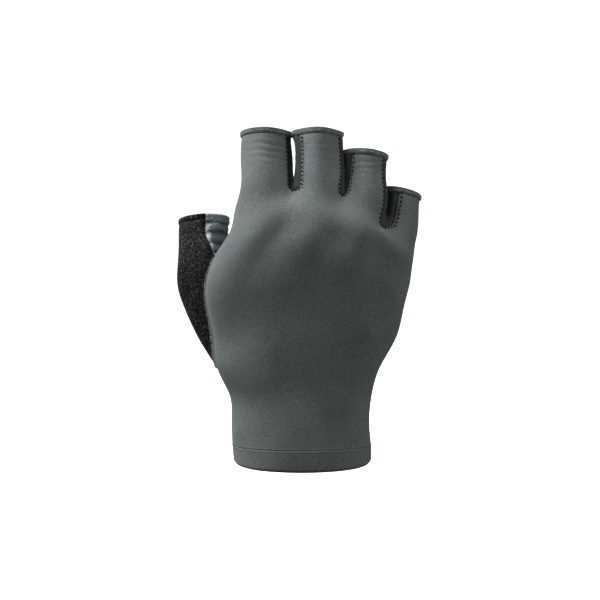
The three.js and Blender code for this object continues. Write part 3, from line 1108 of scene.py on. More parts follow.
@dataclass(frozen=True)
class Relief:
    """How deep seams sink and edges turn, in millimetres."""

    seam_depth: float = 0.6
    outer_seam_depth: float = 0.16
    seam_width: float = 0.75
    seam_crown: float = 0.16
    crown_place: float = 2.3
    tuck_depth: float = 0.5
    tuck_width: float = 0.7
    tuck_under: float = 0.8
    lap_height: float = 0.5
    lap_reach: float = 1.3
    lap_overhang: float = 0.8
    lap_top: float = 6.0
    lap_foot: float = 40.0
    under_lap: float = 0.45
    cuff_ridge: float = 0.14
    ridge_width: float = 0.55
    fold_depth: float = 0.6
    fold_width: float = 0.5
    tuck_reach: float = 2.0
    calm_reach: float = 3.0
    calm_least: float = 0.3
    rib_reach: float = 2.0
    rib_least: float = 0.15

    def lap_fade(self, near: dict[Join, np.ndarray]) -> np.ndarray:
        """Fades the lapped edge out towards the ends of its seam."""
        top, foot = near[Join.SEWN] / self.lap_top, near[Join.JOINED] / self.lap_foot
        return smooth(np.minimum(top, foot))

    def at(self, panel: Panel, near: dict[Join, np.ndarray]) -> np.ndarray:
        """Works out how far the cloth stands out by its seams.

        Args:
            panel: The panel.
            near: The distance to its edges of each kind.

        Returns:
            The height over the smooth surface.
        """
        def dip(kind: Join, width: float) -> np.ndarray:
            """A soft trough along one kind of edge."""
            return np.exp(-((near[kind] / width) ** 2))

        crown = np.exp(-(((near[Join.SEWN] - self.crown_place) / self.seam_width) ** 2))
        sunk = np.maximum.reduce([
            self.seam_depth * dip(Join.SEWN, self.seam_width),
            self.outer_seam_depth * dip(Join.JOINED, self.seam_width),
            self.tuck_depth * dip(Join.TUCKED, self.tuck_width),
            self.fold_depth * dip(Join.FOLDED, self.fold_width),
        ])
        height = self.seam_crown * crown - sunk
        height += self.cuff_ridge * dip(Join.HEMMED, self.ridge_width)
        if panel is Panel.BACK:
            lap = 1 - smooth(near[Join.LAPPED] / self.lap_reach)
            height += self.lap_height * lap * self.lap_fade(near)
        if panel is Panel.THUMB:
            height -= self.under_lap * dip(Join.LAPPED, self.lap_reach / 2)
        return height


def hexed(code: str) -> tuple[float, float, float, float]:
    """Turns an sRGB hex code into the linear colour that a node wants.

    Args:
        code: Six hex digits.

    Returns:
        Red, green, blue and a full alpha.
    """
    parts = [int(code[k:k + 2], 16) / 255 for k in (0, 2, 4)]
    linear = [c / 12.92 if c <= 0.04045 else ((c + 0.055) / 1.055) ** 2.4 for c in parts]
    return (*linear, 1.0)


def add_node(
    tree: bpy.types.NodeTree, kind: str, inputs: dict[Any, Any] | None = None, **settings: Any
) -> bpy.types.Node:
    """Adds one node with its settings and what its sockets get.

    Args:
        tree: The node tree.
        kind: The node's type.
        inputs: For each socket, by name or place, a value, an output, or a node whose first
            output feeds it.
        settings: The node's own properties.

    Returns:
        The node.
    """
    node = tree.nodes.new(kind)
    for name, value in settings.items():
        setattr(node, name, value)
    for socket, given in (inputs or {}).items():
        source = given.outputs[0] if isinstance(given, bpy.types.Node) else given
        if isinstance(source, bpy.types.NodeSocket):
            tree.links.new(source, node.inputs[socket])
        else:
            node.inputs[socket].default_value = source
    return node


# Adds a node to one tree: add_node with its tree already given.
Adder = Callable[..., bpy.types.Node]


def ripple(add: Adder, source: Any, length: float, shift: Any = 0.0) -> bpy.types.Node:
    """Makes a ripple along one coordinate.

    Args:
        add: Adds a node to the material.
        source: The coordinate, in millimetres.
        length: The ripple's length, in millimetres.
        shift: What moves it along, in radians.

    Returns:
        The node that gives the ripple, from -1 to 1.
    """
    turn = add(
        "ShaderNodeMath", {0: source, 1: 2 * math.pi / length, 2: shift}, operation="MULTIPLY_ADD"
    )
    return add("ShaderNodeMath", {0: turn}, operation="SINE")


@dataclass(frozen=True)
class StitchValley:
    """The trough that a row of stitches pulls in the cloth, in millimetres from its seam."""

    place: float
    steepness: float = 2.4
    depth: float = 0.25
    strength: float = 0.8

    def drawn(self, add: Adder, normal: Any) -> bpy.types.Node:
        """Sinks the cloth along the row.

        Args:
            add: Adds a node to the material.
            normal: The normal to start from.

        Returns:
            The node that gives the new normal.
        """
        distance = add("ShaderNodeAttribute", attribute_name="stitch").outputs["Fac"]
        offset = add("ShaderNodeMath", {0: distance, 1: self.place}, operation="SUBTRACT")
        spread = add("ShaderNodeMath", {0: offset, 1: self.steepness}, operation="MULTIPLY")
        squared = add("ShaderNodeMath", {0: spread, 1: 2.0}, operation="POWER")
        sunk = add("ShaderNodeMath", {0: squared, 1: 1.0}, operation="MINIMUM")
        return add("ShaderNodeBump", {
            "Strength": self.strength, "Distance": self.depth * MM,
            "Height": sunk, "Normal": normal,
        })


class Surface(NamedTuple):
    """What a finish draws: its colour, its height, and a shade that the colour is dimmed by."""

    colour: Any
    height: Any
    shade: Any = None


@dataclass(frozen=True)
class Finish:
    """What every finish of the glove has: its name, its shader's values and how it is drawn.

    The relief is how high its pattern stands, in millimetres.
    """

    name: str
    roughness: float
    specular: float
    relief: float
    strength: float
    sheen: float = 0.0
    sheen_roughness: float = 0.5
    sheen_tint: str = "ffffff"
    valley: StitchValley | None = None

    def drawn(self, add: Adder, place: Any) -> Surface:
        """Each finish draws its own surface."""
        raise NotImplementedError

    def material(self) -> bpy.types.Material:
        """Builds the material the first time that it is asked for.

        Returns:
            The material.
        """
        known = bpy.data.materials.get(self.name)
        if known:
            return known
        material = bpy.data.materials.new(self.name)
        material.use_nodes = True
        material.node_tree.nodes.clear()
        add = partial(add_node, material.node_tree)
        surface = self.drawn(add, add("ShaderNodeTexCoord").outputs["Object"])
        colour = surface.colour
        if surface.shade is not None:
            colour = add(
                "ShaderNodeMix", {0: 1.0, 6: colour, 7: surface.shade},
                data_type="RGBA", blend_type="MULTIPLY",
            ).outputs[2]
        normal = add("ShaderNodeBump", {
            "Strength": self.strength, "Distance": self.relief * MM,
            "Height": surface.height,
        })
        if self.valley:
            normal = self.valley.drawn(add, normal)
        shader = add("ShaderNodeBsdfPrincipled", {
            "Base Color": colour, "Normal": normal,
            "Roughness": self.roughness, "Specular IOR Level": self.specular,
            "Sheen Weight": self.sheen, "Sheen Roughness": self.sheen_roughness,
            "Sheen Tint": hexed(self.sheen_tint),
        })
        add("ShaderNodeOutputMaterial", {"Surface": shader})
        return material


@dataclass(frozen=True)
class StretchJersey(Finish):
    """Stretch jersey of polyester and elastane, warp-knitted fine and left matt.

    The yarns are heathered, so the grey is never quite even. Real wales are 0.35 mm apart, and are
    drawn 0.62 mm apart so that they still show. Fuzz lights up where the cloth turns away.
    """

    name: str = "stretch_jersey_warp_knitted"
    dark: str = "595f5e"
    light: str = "7f8684"
    greys: tuple[float, float] = (0.42, 0.95)
    wale: float = 0.62
    course: float = 0.5
    course_bend: float = 1.4
    course_share: float = 0.35
    yarns_per_metre: float = 1500.0
    yarn_share: float = 1.6
    patches_per_metre: float = 70.0
    patch_share: float = 0.35
    seam_shadow: float = 0.55
    shadow_width: float = 0.6
    relief: float = 0.05
    strength: float = 0.55
    roughness: float = 0.8
    specular: float = 0.25
    sheen: float = 0.22
    sheen_roughness: float = 0.45
    sheen_tint: str = "c9d2cf"
    valley: StitchValley = StitchValley(1.6)

    def drawn(self, add: Adder, place: Any) -> Surface:
        """Draws the knit.

        Args:
            add: Adds a node to the material.
            place: The place on the glove.

        Returns:
            The surface.
        """
        knit = add("ShaderNodeSeparateXYZ", {0: add("ShaderNodeUVMap", uv_map="knit")})
        yarn, drift = (
            add("ShaderNodeTexNoise", {
                "Vector": place, "Scale": scale, "Detail": 2.0, "Roughness": roughness,
            })
            for scale, roughness in ((self.yarns_per_metre, 0.6), (self.patches_per_metre, 0.5))
        )
        wales = ripple(add, knit.outputs["X"], self.wale * 2)
        bent = add("ShaderNodeMath", {0: wales, 1: self.course_bend}, operation="MULTIPLY")
        courses = ripple(add, knit.outputs["Y"], self.course, bent)
        ribs = add("ShaderNodeMath", {0: wales}, operation="ABSOLUTE")
        loops, shade = (
            add("ShaderNodeMath", {0: part, 1: share, 2: rest}, operation="MULTIPLY_ADD")
            for part, share, rest in (
                (courses, self.course_share, ribs), (drift, self.patch_share, yarn),
            )
        )
        fuzz = add(
            "ShaderNodeMath", {0: yarn, 1: self.yarn_share, 2: loops}, operation="MULTIPLY_ADD"
        )
        spread = add("ShaderNodeMapRange", {
            "Value": shade, "From Min": self.greys[0], "From Max": self.greys[1],
        })
        grey = add(
            "ShaderNodeMix", {0: spread, 6: hexed(self.dark), 7: hexed(self.light)},
            data_type="RGBA",
        )
        shadow = add("ShaderNodeMapRange", {
            "Value": add("ShaderNodeAttribute", attribute_name="seam").outputs["Fac"],
            "From Max": self.shadow_width, "To Min": self.seam_shadow,
        })
        return Surface(grey.outputs[2], fuzz, shadow)


@dataclass(frozen=True)
class PebbledSuede(Finish):
    """Synthetic suede of split microfibre, embossed with a fine pebble and dyed black.

    The pebbles are about 1 mm apart, from noise with cells of 0.64 mm. Their tops are rubbed a
    little lighter than the gaps.
    """

    name: str = "synthetic_suede_embossed"
    gap: str = "060607"
    top: str = "131314"
    speck: str = "5c5e5e"
    pebble: float = 0.64
    slant: float = 0.7
    stretch: tuple[float, float, float] = (1.4, 1.0, 0.7)
    tops: tuple[float, float] = (0.35, 0.65)
    worn: tuple[float, float] = (0.49, 0.72)
    fibres_per_metre: float = 2600.0
    nap_share: float = 0.25
    relief: float = 0.2
    strength: float = 0.8
    roughness: float = 0.85
    specular: float = 0.2
    sheen: float = 0.05
    valley: StitchValley = StitchValley(1.15)

    def drawn(self, add: Adder, place: Any) -> Surface:
        """Draws the pebbles and the nap.

        Args:
            add: Adds a node to the material.
            place: The place on the glove.

        Returns:
            The surface.
        """
        slanted = add("ShaderNodeMapping", {
            "Vector": place, "Rotation": (0.0, self.slant, 0.0), "Scale": self.stretch,
        })
        pebbles = add("ShaderNodeTexNoise", {
            "Vector": slanted, "Scale": 1000 / self.pebble, "Detail": 1.5, "Roughness": 0.6,
        })
        tops, worn = (
            add(
                "ShaderNodeMapRange", {"Value": pebbles, "From Min": low, "From Max": high},
                interpolation_type="SMOOTHSTEP",
            )
            for low, high in (self.tops, self.worn)
        )
        black = add(
            "ShaderNodeMix", {0: tops, 6: hexed(self.gap), 7: hexed(self.top)}, data_type="RGBA"
        )
        colour = add(
            "ShaderNodeMix", {0: worn, 6: black.outputs[2], 7: hexed(self.speck)},
            data_type="RGBA",
        )
        nap = add("ShaderNodeTexNoise", {
            "Vector": place, "Scale": self.fibres_per_metre, "Detail": 2.0,
        })
        height = add(
            "ShaderNodeMath", {0: nap, 1: self.nap_share, 2: tops}, operation="MULTIPLY_ADD"
        )
        return Surface(colour.outputs[2], height)


@dataclass(frozen=True)
class RibbedTowelling(Finish):
    """Cotton towelling with short loops, piece-dyed blue-grey and gathered into ribs.

    The loops are about 0.7 mm across. The furrows stay darker than the ribs' crests, which makes
    the stripes, and the loops scatter light so softly that nothing shines.
    """

    name: str = "towelling_looped_pile"
    furrow: str = "4d636c"
    crest: str = "e0f0f6"
    stripes: tuple[float, float] = (0.15, 1.3)
    loop: float = 0.7
    loop_foot: float = 0.75
    loop_shades: tuple[float, float] = (0.62, 1.08)
    patches_per_metre: float = 380.0
    patch_share: float = 0.5
    relief: float = 0.3
    strength: float = 0.9
    roughness: float = 0.95
    specular: float = 0.1
    sheen: float = 0.4
    sheen_roughness: float = 0.6

    def drawn(self, add: Adder, place: Any) -> Surface:
        """Draws the loops and the stripes.

        Args:
            add: Adds a node to the material.
            place: The place on the glove.

        Returns:
            The surface.
        """
        loops = add("ShaderNodeTexVoronoi", {"Vector": place, "Scale": 1 / (self.loop * MM)})
        round_loops = add("ShaderNodeMapRange", {
            "Value": loops.outputs["Distance"], "From Max": self.loop_foot, "To Min": 1.0,
            "To Max": 0.0,
        })
        patch = add("ShaderNodeTexNoise", {
            "Vector": place, "Scale": self.patches_per_metre, "Detail": 3.0, "Roughness": 0.6,
        })
        rib = add("ShaderNodeAttribute", attribute_name="rib").outputs["Fac"]
        lit = add(
            "ShaderNodeMath", {0: patch, 1: self.patch_share, 2: rib}, operation="MULTIPLY_ADD"
        )
        share = add("ShaderNodeMapRange", {
            "Value": lit, "From Min": self.stripes[0], "From Max": self.stripes[1],
        })
        colour = add(
            "ShaderNodeMix", {0: share, 6: hexed(self.furrow), 7: hexed(self.crest)},
            data_type="RGBA",
        )
        gaps = add("ShaderNodeMapRange", {
            "Value": round_loops, "To Min": self.loop_shades[0], "To Max": self.loop_shades[1],
        })
        return Surface(colour.outputs[2], round_loops, gaps)


@dataclass(frozen=True)
class SpunThread(Finish):
    """Bonded polyester sewing thread, spun and dyed.

    Its plies are about 0.3 mm apart, too fine to show. Slanting bands about 2 mm apart stand for
    them, so that the stitches differ a little in tone. Blender fits 2.76 bands in its wave's unit.
    """

    name: str = "polyester_thread_bonded"
    colour: str = "060707"
    band_unit: float = 5.6
    distortion: float = 1.5
    tones: tuple[float, float] = (0.7, 1.25)
    relief: float = 0.06
    strength: float = 0.5
    roughness: float = 0.6
    specular: float = 0.3

    def drawn(self, add: Adder, place: Any) -> Surface:
        """Draws the bands.

        Args:
            add: Adds a node to the material.
            place: The place on the glove.

        Returns:
            The surface.
        """
        plies = add(
            "ShaderNodeTexWave",
            {"Vector": place, "Scale": 1000 / self.band_unit, "Distortion": self.distortion},
            bands_direction="DIAGONAL",
        ).outputs["Fac"]
        tone = add("ShaderNodeMapRange", {
            "Value": plies, "To Min": self.tones[0], "To Max": self.tones[1],
        })
        return Surface(hexed(self.colour), plies, tone)


def new_object(name: str, data: Any) -> bpy.types.Object:
    """Makes an object and links it to the scene.

    Args:
        name: The object's name.
        data: Its mesh, camera or light.

    Returns:
        The object.
    """
    thing = bpy.data.objects.new(name, data)
    bpy.context.scene.collection.objects.link(thing)
    return thing


def make_object(
    name: str,
    points: np.ndarray,
    faces: list[tuple[int, ...]],
    material: bpy.types.Material,
) -> bpy.types.Object:
    """Makes a smooth-shaded piece from points in millimetres.

    Args:
        name: The piece's name.
        points: Its points.
        faces: Its faces, facing outwards.
        material: Its material.

    Returns:
        The object, linked to the scene.
    """
    mesh = bpy.data.meshes.new(name)
    mesh.from_pydata((points * MM).tolist(), [], faces)
    mesh.materials.append(material)
    mesh.shade_smooth()
    return new_object(name, mesh)


def keep_values(mesh: bpy.types.Mesh, name: str, values: np.ndarray) -> None:
    """Stores one number for each point of a mesh.

    Args:
        mesh: The mesh.
        name: The attribute's name.
        values: The numbers.
    """
    layer = mesh.attributes.new(name, "FLOAT", "POINT")
    layer.data.foreach_set("value", values.astype(np.float32))


def keep_weave(mesh: bpy.types.Mesh, corners: np.ndarray) -> None:
    """Stores where each corner of a mesh's faces lies in the knit, in millimetres."""
    layer = mesh.uv_layers.new(name="knit")
    layer.uv.foreach_set("vector", corners.astype(np.float32).ravel())


@dataclass
class SewnPanel:
    """A panel of the glove as a sheet with two faces, its edges turned and its seams sunk.

    A rib bend is a height, a length across the hand and a length up it: it bends the ribs.
    """

    panel: Panel
    finish: Finish
    slot: str
    thickness: float
    flat: tuple[float, float]
    area: float
    stitched_to: tuple[Panel, ...] = ()
    rib_spacing: float = 0.0
    rib_height: float = 0.0
    rib_start: float = 107.1
    rib_sharpness: float = 1.2
    rib_bends: tuple[tuple[float, float, float], ...] = (
        (0.45, 1.9, math.inf), (0.22, 0.8, 2.0),
    )
    relief: Relief = field(default_factory=Relief)

    def measure(self, fabric: Fabric) -> None:
        """Finds the panel's points, its edges and their distances.

        Args:
            fabric: The finished cloth.
        """
        self.rim = fabric.rim(fabric.fine, fabric.edges, self.panel)
        own = fabric.fine.faces[fabric.fine.panels == self.panel.number]
        self.ids = np.unique(own)
        panels = list(Panel)
        kinds = [join_of(self.panel, panels[n] if n >= 0 else None) for n in self.rim.other]
        self.parts, self.near, self.nearest = {}, {}, {}
        for kind in Join:
            part = self.rim.chosen(np.array([k is kind for k in kinds], bool))
            self.parts[kind] = part
            self.near[kind], self.nearest[kind] = fabric.nearness(self.ids, part)
        numbers = [other.number for other in self.stitched_to]
        stitched = self.rim.chosen(np.isin(self.rim.other, numbers))
        self.stitch_distance, _ = fabric.nearness(self.ids, stitched)

    def ribs(self, fabric: Fabric) -> np.ndarray:
        """Finds how high each point lies on the panel's ribs.

        Args:
            fabric: The finished cloth.

        Returns:
            A share for each of the panel's points, from furrow (0) to crest (1).
        """
        if not self.rib_spacing:
            return np.zeros(len(self.ids))
        x, _, z = fabric.places[self.ids].T
        bent = z - self.rib_start
        for high, across, along in self.rib_bends:
            bent += high * np.sin(x / across + z / along)
        return np.abs(np.sin(math.pi * bent / self.rib_spacing)) ** self.rib_sharpness

    def shaped(self, fabric: Fabric, loose: list[Any]) -> np.ndarray:
        """Works out where the panel's outer face lies.

        Args:
            fabric: The finished cloth.
            loose: The swells, mounds and pulls in the cloth.

        Returns:
            A place for each of the panel's points.
        """
        places, normals = fabric.places[self.ids], fabric.normals[self.ids]
        relief = self.relief
        height = relief.at(self.panel, self.near)
        held = np.minimum(self.near[Join.TUCKED], self.near[Join.SEWN])
        calm = between(relief.calm_least, 1.0, smooth(held / relief.calm_reach))
        for unevenness in loose:
            height += unevenness.at(places) * calm
        self.rib = self.ribs(fabric)
        grown = smooth(relief.rib_least + self.near[Join.SEWN] / relief.rib_reach)
        height += self.rib_height * (self.rib - 0.5) * grown
        placed = places + normals * height[:, None]
        placed += self.pushed(fabric, Join.TUCKED, relief.tuck_under, relief.tuck_reach)
        if self.panel is Panel.BACK:
            lap = self.pushed(fabric, Join.LAPPED, relief.lap_overhang, relief.lap_reach)
            placed += lap * relief.lap_fade(self.near)[:, None]
        return placed

    def pushed(self, fabric: Fabric, kind: Join, push: float, reach: float) -> np.ndarray:
        """Works out how an edge is pushed on past its seam.

        Args:
            fabric: The finished cloth.
            kind: Which edges are pushed.
            push: How far the edge itself goes.
            reach: How far into the panel the push is felt.

        Returns:
            A step for each of the panel's points.
        """
        part = self.parts[kind]
        if not len(part.start):
            return np.zeros((len(self.ids), 3))
        into = fabric.inward(part)
        out = np.array([-into[k] for k in self.nearest[kind].tolist()])
        felt = push * (1 - smooth(self.near[kind] / reach))
        return out * felt[:, None]

    def build(self, fabric: Fabric, loose: list[Any]) -> bpy.types.Object:
        """Builds the panel: fine outside, coarser inside, joined round the edge.

        Args:
            fabric: The finished cloth.
            loose: The swells, mounds and pulls in the cloth.

        Returns:
            The object.
        """
        self.measure(fabric)
        outer = self.shaped(fabric, loose)
        coarse = fabric.coarse
        own_fine = fabric.fine.panels == self.panel.number
        own_coarse = coarse.panels == self.panel.number
        inner_ids = np.unique(coarse.faces[own_coarse])
        place_of = np.full(len(fabric.places), -1)
        place_of[self.ids] = np.arange(len(self.ids))
        inner_of = np.full(len(fabric.places), -1)
        inner_of[inner_ids] = np.arange(len(inner_ids)) + len(self.ids)
        inner = outer[place_of[inner_ids]] - fabric.normals[inner_ids] * self.thickness
        outside = place_of[fabric.fine.faces[own_fine]]
        inside = inner_of[coarse.faces[own_coarse]][:, ::-1]
        rim = fabric.rim(coarse, fabric.coarse_edges, self.panel)
        middle = place_of[len(coarse.points) + rim.edge]
        wall = np.stack([
            place_of[rim.end], middle, place_of[rim.start], inner_of[rim.start], inner_of[rim.end]
        ], axis=1)
        faces = [*map(tuple, outside.tolist()), *map(tuple, inside.tolist())]
        faces += map(tuple, wall.tolist())
        piece = make_object(
            f"{self.panel.value}_cloth", np.concatenate([outer, inner]), faces,
            self.finish.material(),
        )
        ridge = [Panel.BACK.number, Panel.CUFF_HEM.number]
        for k in np.flatnonzero(np.isin(rim.other, ridge) & (self.panel.number in ridge)):
            piece.data.polygons[len(outside) + len(inside) + int(k)].use_smooth = False
        self.outer, self.outer_normals = outer, fabric.normals[self.ids]
        self.mark(piece.data, fabric, rim, len(inner_ids))
        return piece

    def mark(self, mesh: bpy.types.Mesh, fabric: Fabric, rim: Rim, inner: int) -> None:
        """Stores what the finish reads: the distances to seams, the ribs and the weave.

        Args:
            mesh: The panel's mesh.
            fabric: The finished cloth.
            rim: The edge of the panel's inner face.
            inner: How many points the inner face has.
        """
        lining = np.full(inner, FAR)
        seam = np.minimum(self.near[Join.SEWN], self.near[Join.JOINED])
        keep_values(mesh, "seam", np.concatenate([seam, lining]))
        keep_values(mesh, "stitch", np.concatenate([self.stitch_distance, lining]))
        if self.rib_spacing:
            keep_values(mesh, "rib", np.concatenate([self.rib, np.full(inner, 0.5)]))
        fine, coarse = fabric.fine, fabric.coarse
        edge_weave = fabric.weave[np.stack([
            rim.end, len(coarse.points) + rim.edge, rim.start, rim.start, rim.end
        ], axis=1)]
        keep_weave(mesh, np.concatenate([
            fine.weave[fine.panels == self.panel.number].reshape(-1, 2),
            coarse.weave[coarse.panels == self.panel.number][:, ::-1].reshape(-1, 2),
            edge_weave.reshape(-1, 2),
        ]))

    def declare(self, piece: bpy.types.Object, with_pieces: list[bpy.types.Object]) -> None:
        """Tells the frame what the piece is.

        Args:
            piece: The panel's object.
            with_pieces: The separate pieces sewn to it.
        """
        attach(piece, "root")
        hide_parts(self.panel.value)
        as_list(with_pieces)


@dataclass
class RolledHem:
    """A narrow hem, rolled outwards and sewn down, swept round an opening.

    Its section's points are a share of the hem's height and how far they stand out. Its
    puckers are three ripples with seeded starts, in radians.
    """

    panel: Panel
    finish: Finish
    slot: str
    section: tuple[tuple[float, float], ...]
    pucker: float = 0.07
    pucker_spacing: float = 2.3
    pucker_shares: tuple[float, ...] = (0.6, 0.4, 0.5)
    crest_share: float = 0.5
    crest_tilt: float = 0.1
    last_start: float = 6.28
    girth: float = 6.0
    rib_half: float = 0.6
    seed: int = 3

    def loops(self, fabric: Fabric) -> tuple[list[int], list[int], bool]:
        """Finds the hem's lower and upper edge, running the same way.

        Args:
            fabric: The finished cloth.

        Returns:
            The two chains of point numbers, and whether they are closed.
        """
        rim = fabric.rim(fabric.fine, fabric.edges, self.panel)
        hems = [panel.number for panel in ROLLED_HEMS]
        low = rim.chosen((rim.other >= 0) & ~np.isin(rim.other, hems)).chains()[0]
        high = rim.chosen(rim.other < 0).chains()[0][::-1]
        closed = low[0] == low[-1]
        if closed:
            low, high = low[:-1], high[:-1]
            gaps = [np.linalg.norm(fabric.places[k] - fabric.places[low[0]]) for k in high]
            start = int(np.argmin(gaps))
            high = high[start:] + high[:start]
        return low, high, closed

    def rings(
        self, fabric: Fabric, low: list[int], high: list[int], closed: bool
    ) -> tuple[np.ndarray, np.ndarray]:
        """Places the section along the hem, with its puckers, and notes where its crest runs.

        Args:
            fabric: The finished cloth.
            low: The point numbers of the hem's lower edge.
            high: Those of its upper edge.
            closed: Whether the hem runs all the way round.

        Returns:
            The section's points at each step, and how far along the hem each step lies.
        """
        base, top = fabric.places[low], fabric.places[high]
        up = top - base
        height = np.linalg.norm(up, axis=1, keepdims=True)
        up /= height
        out = fabric.normals[low] - (fabric.normals[low] * up).sum(1, keepdims=True) * up
        out /= np.linalg.norm(out, axis=1, keepdims=True)
        rng = np.random.default_rng(self.seed)
        steps = np.linalg.norm(np.diff(base, axis=0), axis=1)
        along = np.concatenate([[0.0], np.cumsum(steps)])
        round_it = along[-1] + (np.linalg.norm(base[0] - base[-1]) if closed else 0.0)
        turns = max(1, round(round_it / self.pucker_spacing))
        counts = (turns, turns * 2 + 1, max(1, turns // 3))
        ripples = np.zeros(len(low))
        for k, share in zip(counts, self.pucker_shares):
            start = rng.uniform(0, self.last_start)
            ripples += share * np.sin(2 * math.pi * k * along / round_it + start)
        rings = []
        for share, stand in self.section:
            swell = self.pucker * ripples * (stand > 0)
            rings.append(base + up * height * share + out * (stand + swell)[:, None])
        ridge = [share for share, _ in self.section].index(self.crest_share)
        line, facing = rings[ridge], out + up * self.crest_tilt
        self.crest = (
            np.concatenate([line, line[:1]]) if closed else line,
            np.concatenate([facing, facing[:1]]) if closed else facing,
        )
        return np.stack(rings, axis=1), along

    def build(self, fabric: Fabric) -> bpy.types.Object:
        """Sweeps the hem's section.

        Args:
            fabric: The finished cloth.

        Returns:
            The object.
        """
        low, high, closed = self.loops(fabric)
        points, along = self.rings(fabric, low, high, closed)
        count, size = len(low), len(self.section)
        faces = []
        for j in range(count if closed else count - 1):
            n = (j + 1) % count
            for k in range(size):
                m = (k + 1) % size
                faces.append((j * size + k, n * size + k, n * size + m, j * size + m))
        if not closed:
            faces.append(tuple(range(size)))
            faces.append(tuple((count - 1) * size + k for k in reversed(range(size))))
        piece = make_object(
            f"{self.panel.value}_roll", points.reshape(-1, 3), faces, self.finish.material()
        )
        girth = np.linspace(0.0, self.girth, size)
        loops = np.array([v for face in faces for v in face])
        weave = np.stack([along[loops // size], girth[loops % size]], axis=1)
        keep_weave(piece.data, weave)
        stands = np.array([stand for _, stand in self.section])
        crests = smooth((stands + self.rib_half) / (2 * self.rib_half))
        far = np.full(count * size, FAR)
        for name, values in (("seam", far), ("stitch", far), ("rib", np.tile(crests, count))):
            keep_values(piece.data, name, values)
        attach(piece, "root")
        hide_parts(self.panel.value)
        return piece


class StitchTree:
    """The Geometry Nodes tree that lays stitches along a path, one for each step of its pitch."""

    INPUTS = {
        "Geometry": "Geometry", "Pitch": "Float", "Length": "Float", "Width": "Float",
        "Height": "Float", "Turn": "Float", "Lift": "Float", "Unevenness": "Float",
        "Seed": "Int", "Material": "Material",
    }
    BEAD = {"Segments": 8, "Rings": 5, "Radius": 0.5}

    def __init__(self) -> None:
        """Builds the tree."""
        self.tree = bpy.data.node_groups.new("stitches_along_a_seam", "GeometryNodeTree")
        sockets = self.tree.interface
        for name, kind in self.INPUTS.items():
            sockets.new_socket(name, in_out="INPUT", socket_type=f"NodeSocket{kind}")
        sockets.new_socket("Geometry", in_out="OUTPUT", socket_type="NodeSocketGeometry")
        add = partial(add_node, self.tree)
        given = add("NodeGroupInput").outputs
        path = add("GeometryNodeMeshToCurve", {"Mesh": given["Geometry"]})
        steps = add(
            "GeometryNodeResampleCurve", {"Curve": path, "Length": given["Pitch"]}, mode="LENGTH"
        )
        facing = add(
            "GeometryNodeInputNamedAttribute", {"Name": "facing"}, data_type="FLOAT_VECTOR"
        )
        upright = add("FunctionNodeAlignRotationToVector", {"Vector": facing}, axis="Z")
        laid = add(
            "FunctionNodeAlignRotationToVector",
            {"Rotation": upright, "Vector": add("GeometryNodeInputTangent")},
            axis="X", pivot_axis="Z",
        )
        spread = add(
            "FunctionNodeRandomValue", {"Max": given["Unevenness"], "Seed": given["Seed"]},
            data_type="FLOAT",
        )
        swing = add("ShaderNodeMath", {0: spread.outputs[1], 1: given["Turn"]}, operation="ADD")
        turned = add("ShaderNodeCombineXYZ", {"Z": swing})
        turn = add("FunctionNodeEulerToRotation", {0: turned})
        placed = add(
            "FunctionNodeRotateRotation", {"Rotation": laid, "Rotate By": turn},
            rotation_space="LOCAL",
        )
        size = add("ShaderNodeCombineXYZ", {
            "X": given["Length"], "Y": given["Width"], "Z": given["Height"],
        })
        raised = add("ShaderNodeCombineXYZ", {"Z": given["Lift"]})
        stitch = add("GeometryNodeTransform", {
            "Geometry": add("GeometryNodeMeshUVSphere", self.BEAD), "Scale": size,
            "Translation": raised,
        })
        laid_out = add("GeometryNodeInstanceOnPoints", {
            "Points": steps, "Instance": stitch, "Rotation": placed,
        })
        real = add("GeometryNodeRealizeInstances", {"Geometry": laid_out})
        soft = add("GeometryNodeSetShadeSmooth", {"Geometry": real})
        dressed = add("GeometryNodeSetMaterial", {"Geometry": soft, "Material": given["Material"]})
        add("NodeGroupOutput", {0: dressed})

    def identifier(self, name: str) -> str:
        """The identifier of one of the tree's inputs."""
        return next(
            item.identifier for item in self.tree.interface.items_tree
            if item.name == name and item.in_out == "INPUT"
        )


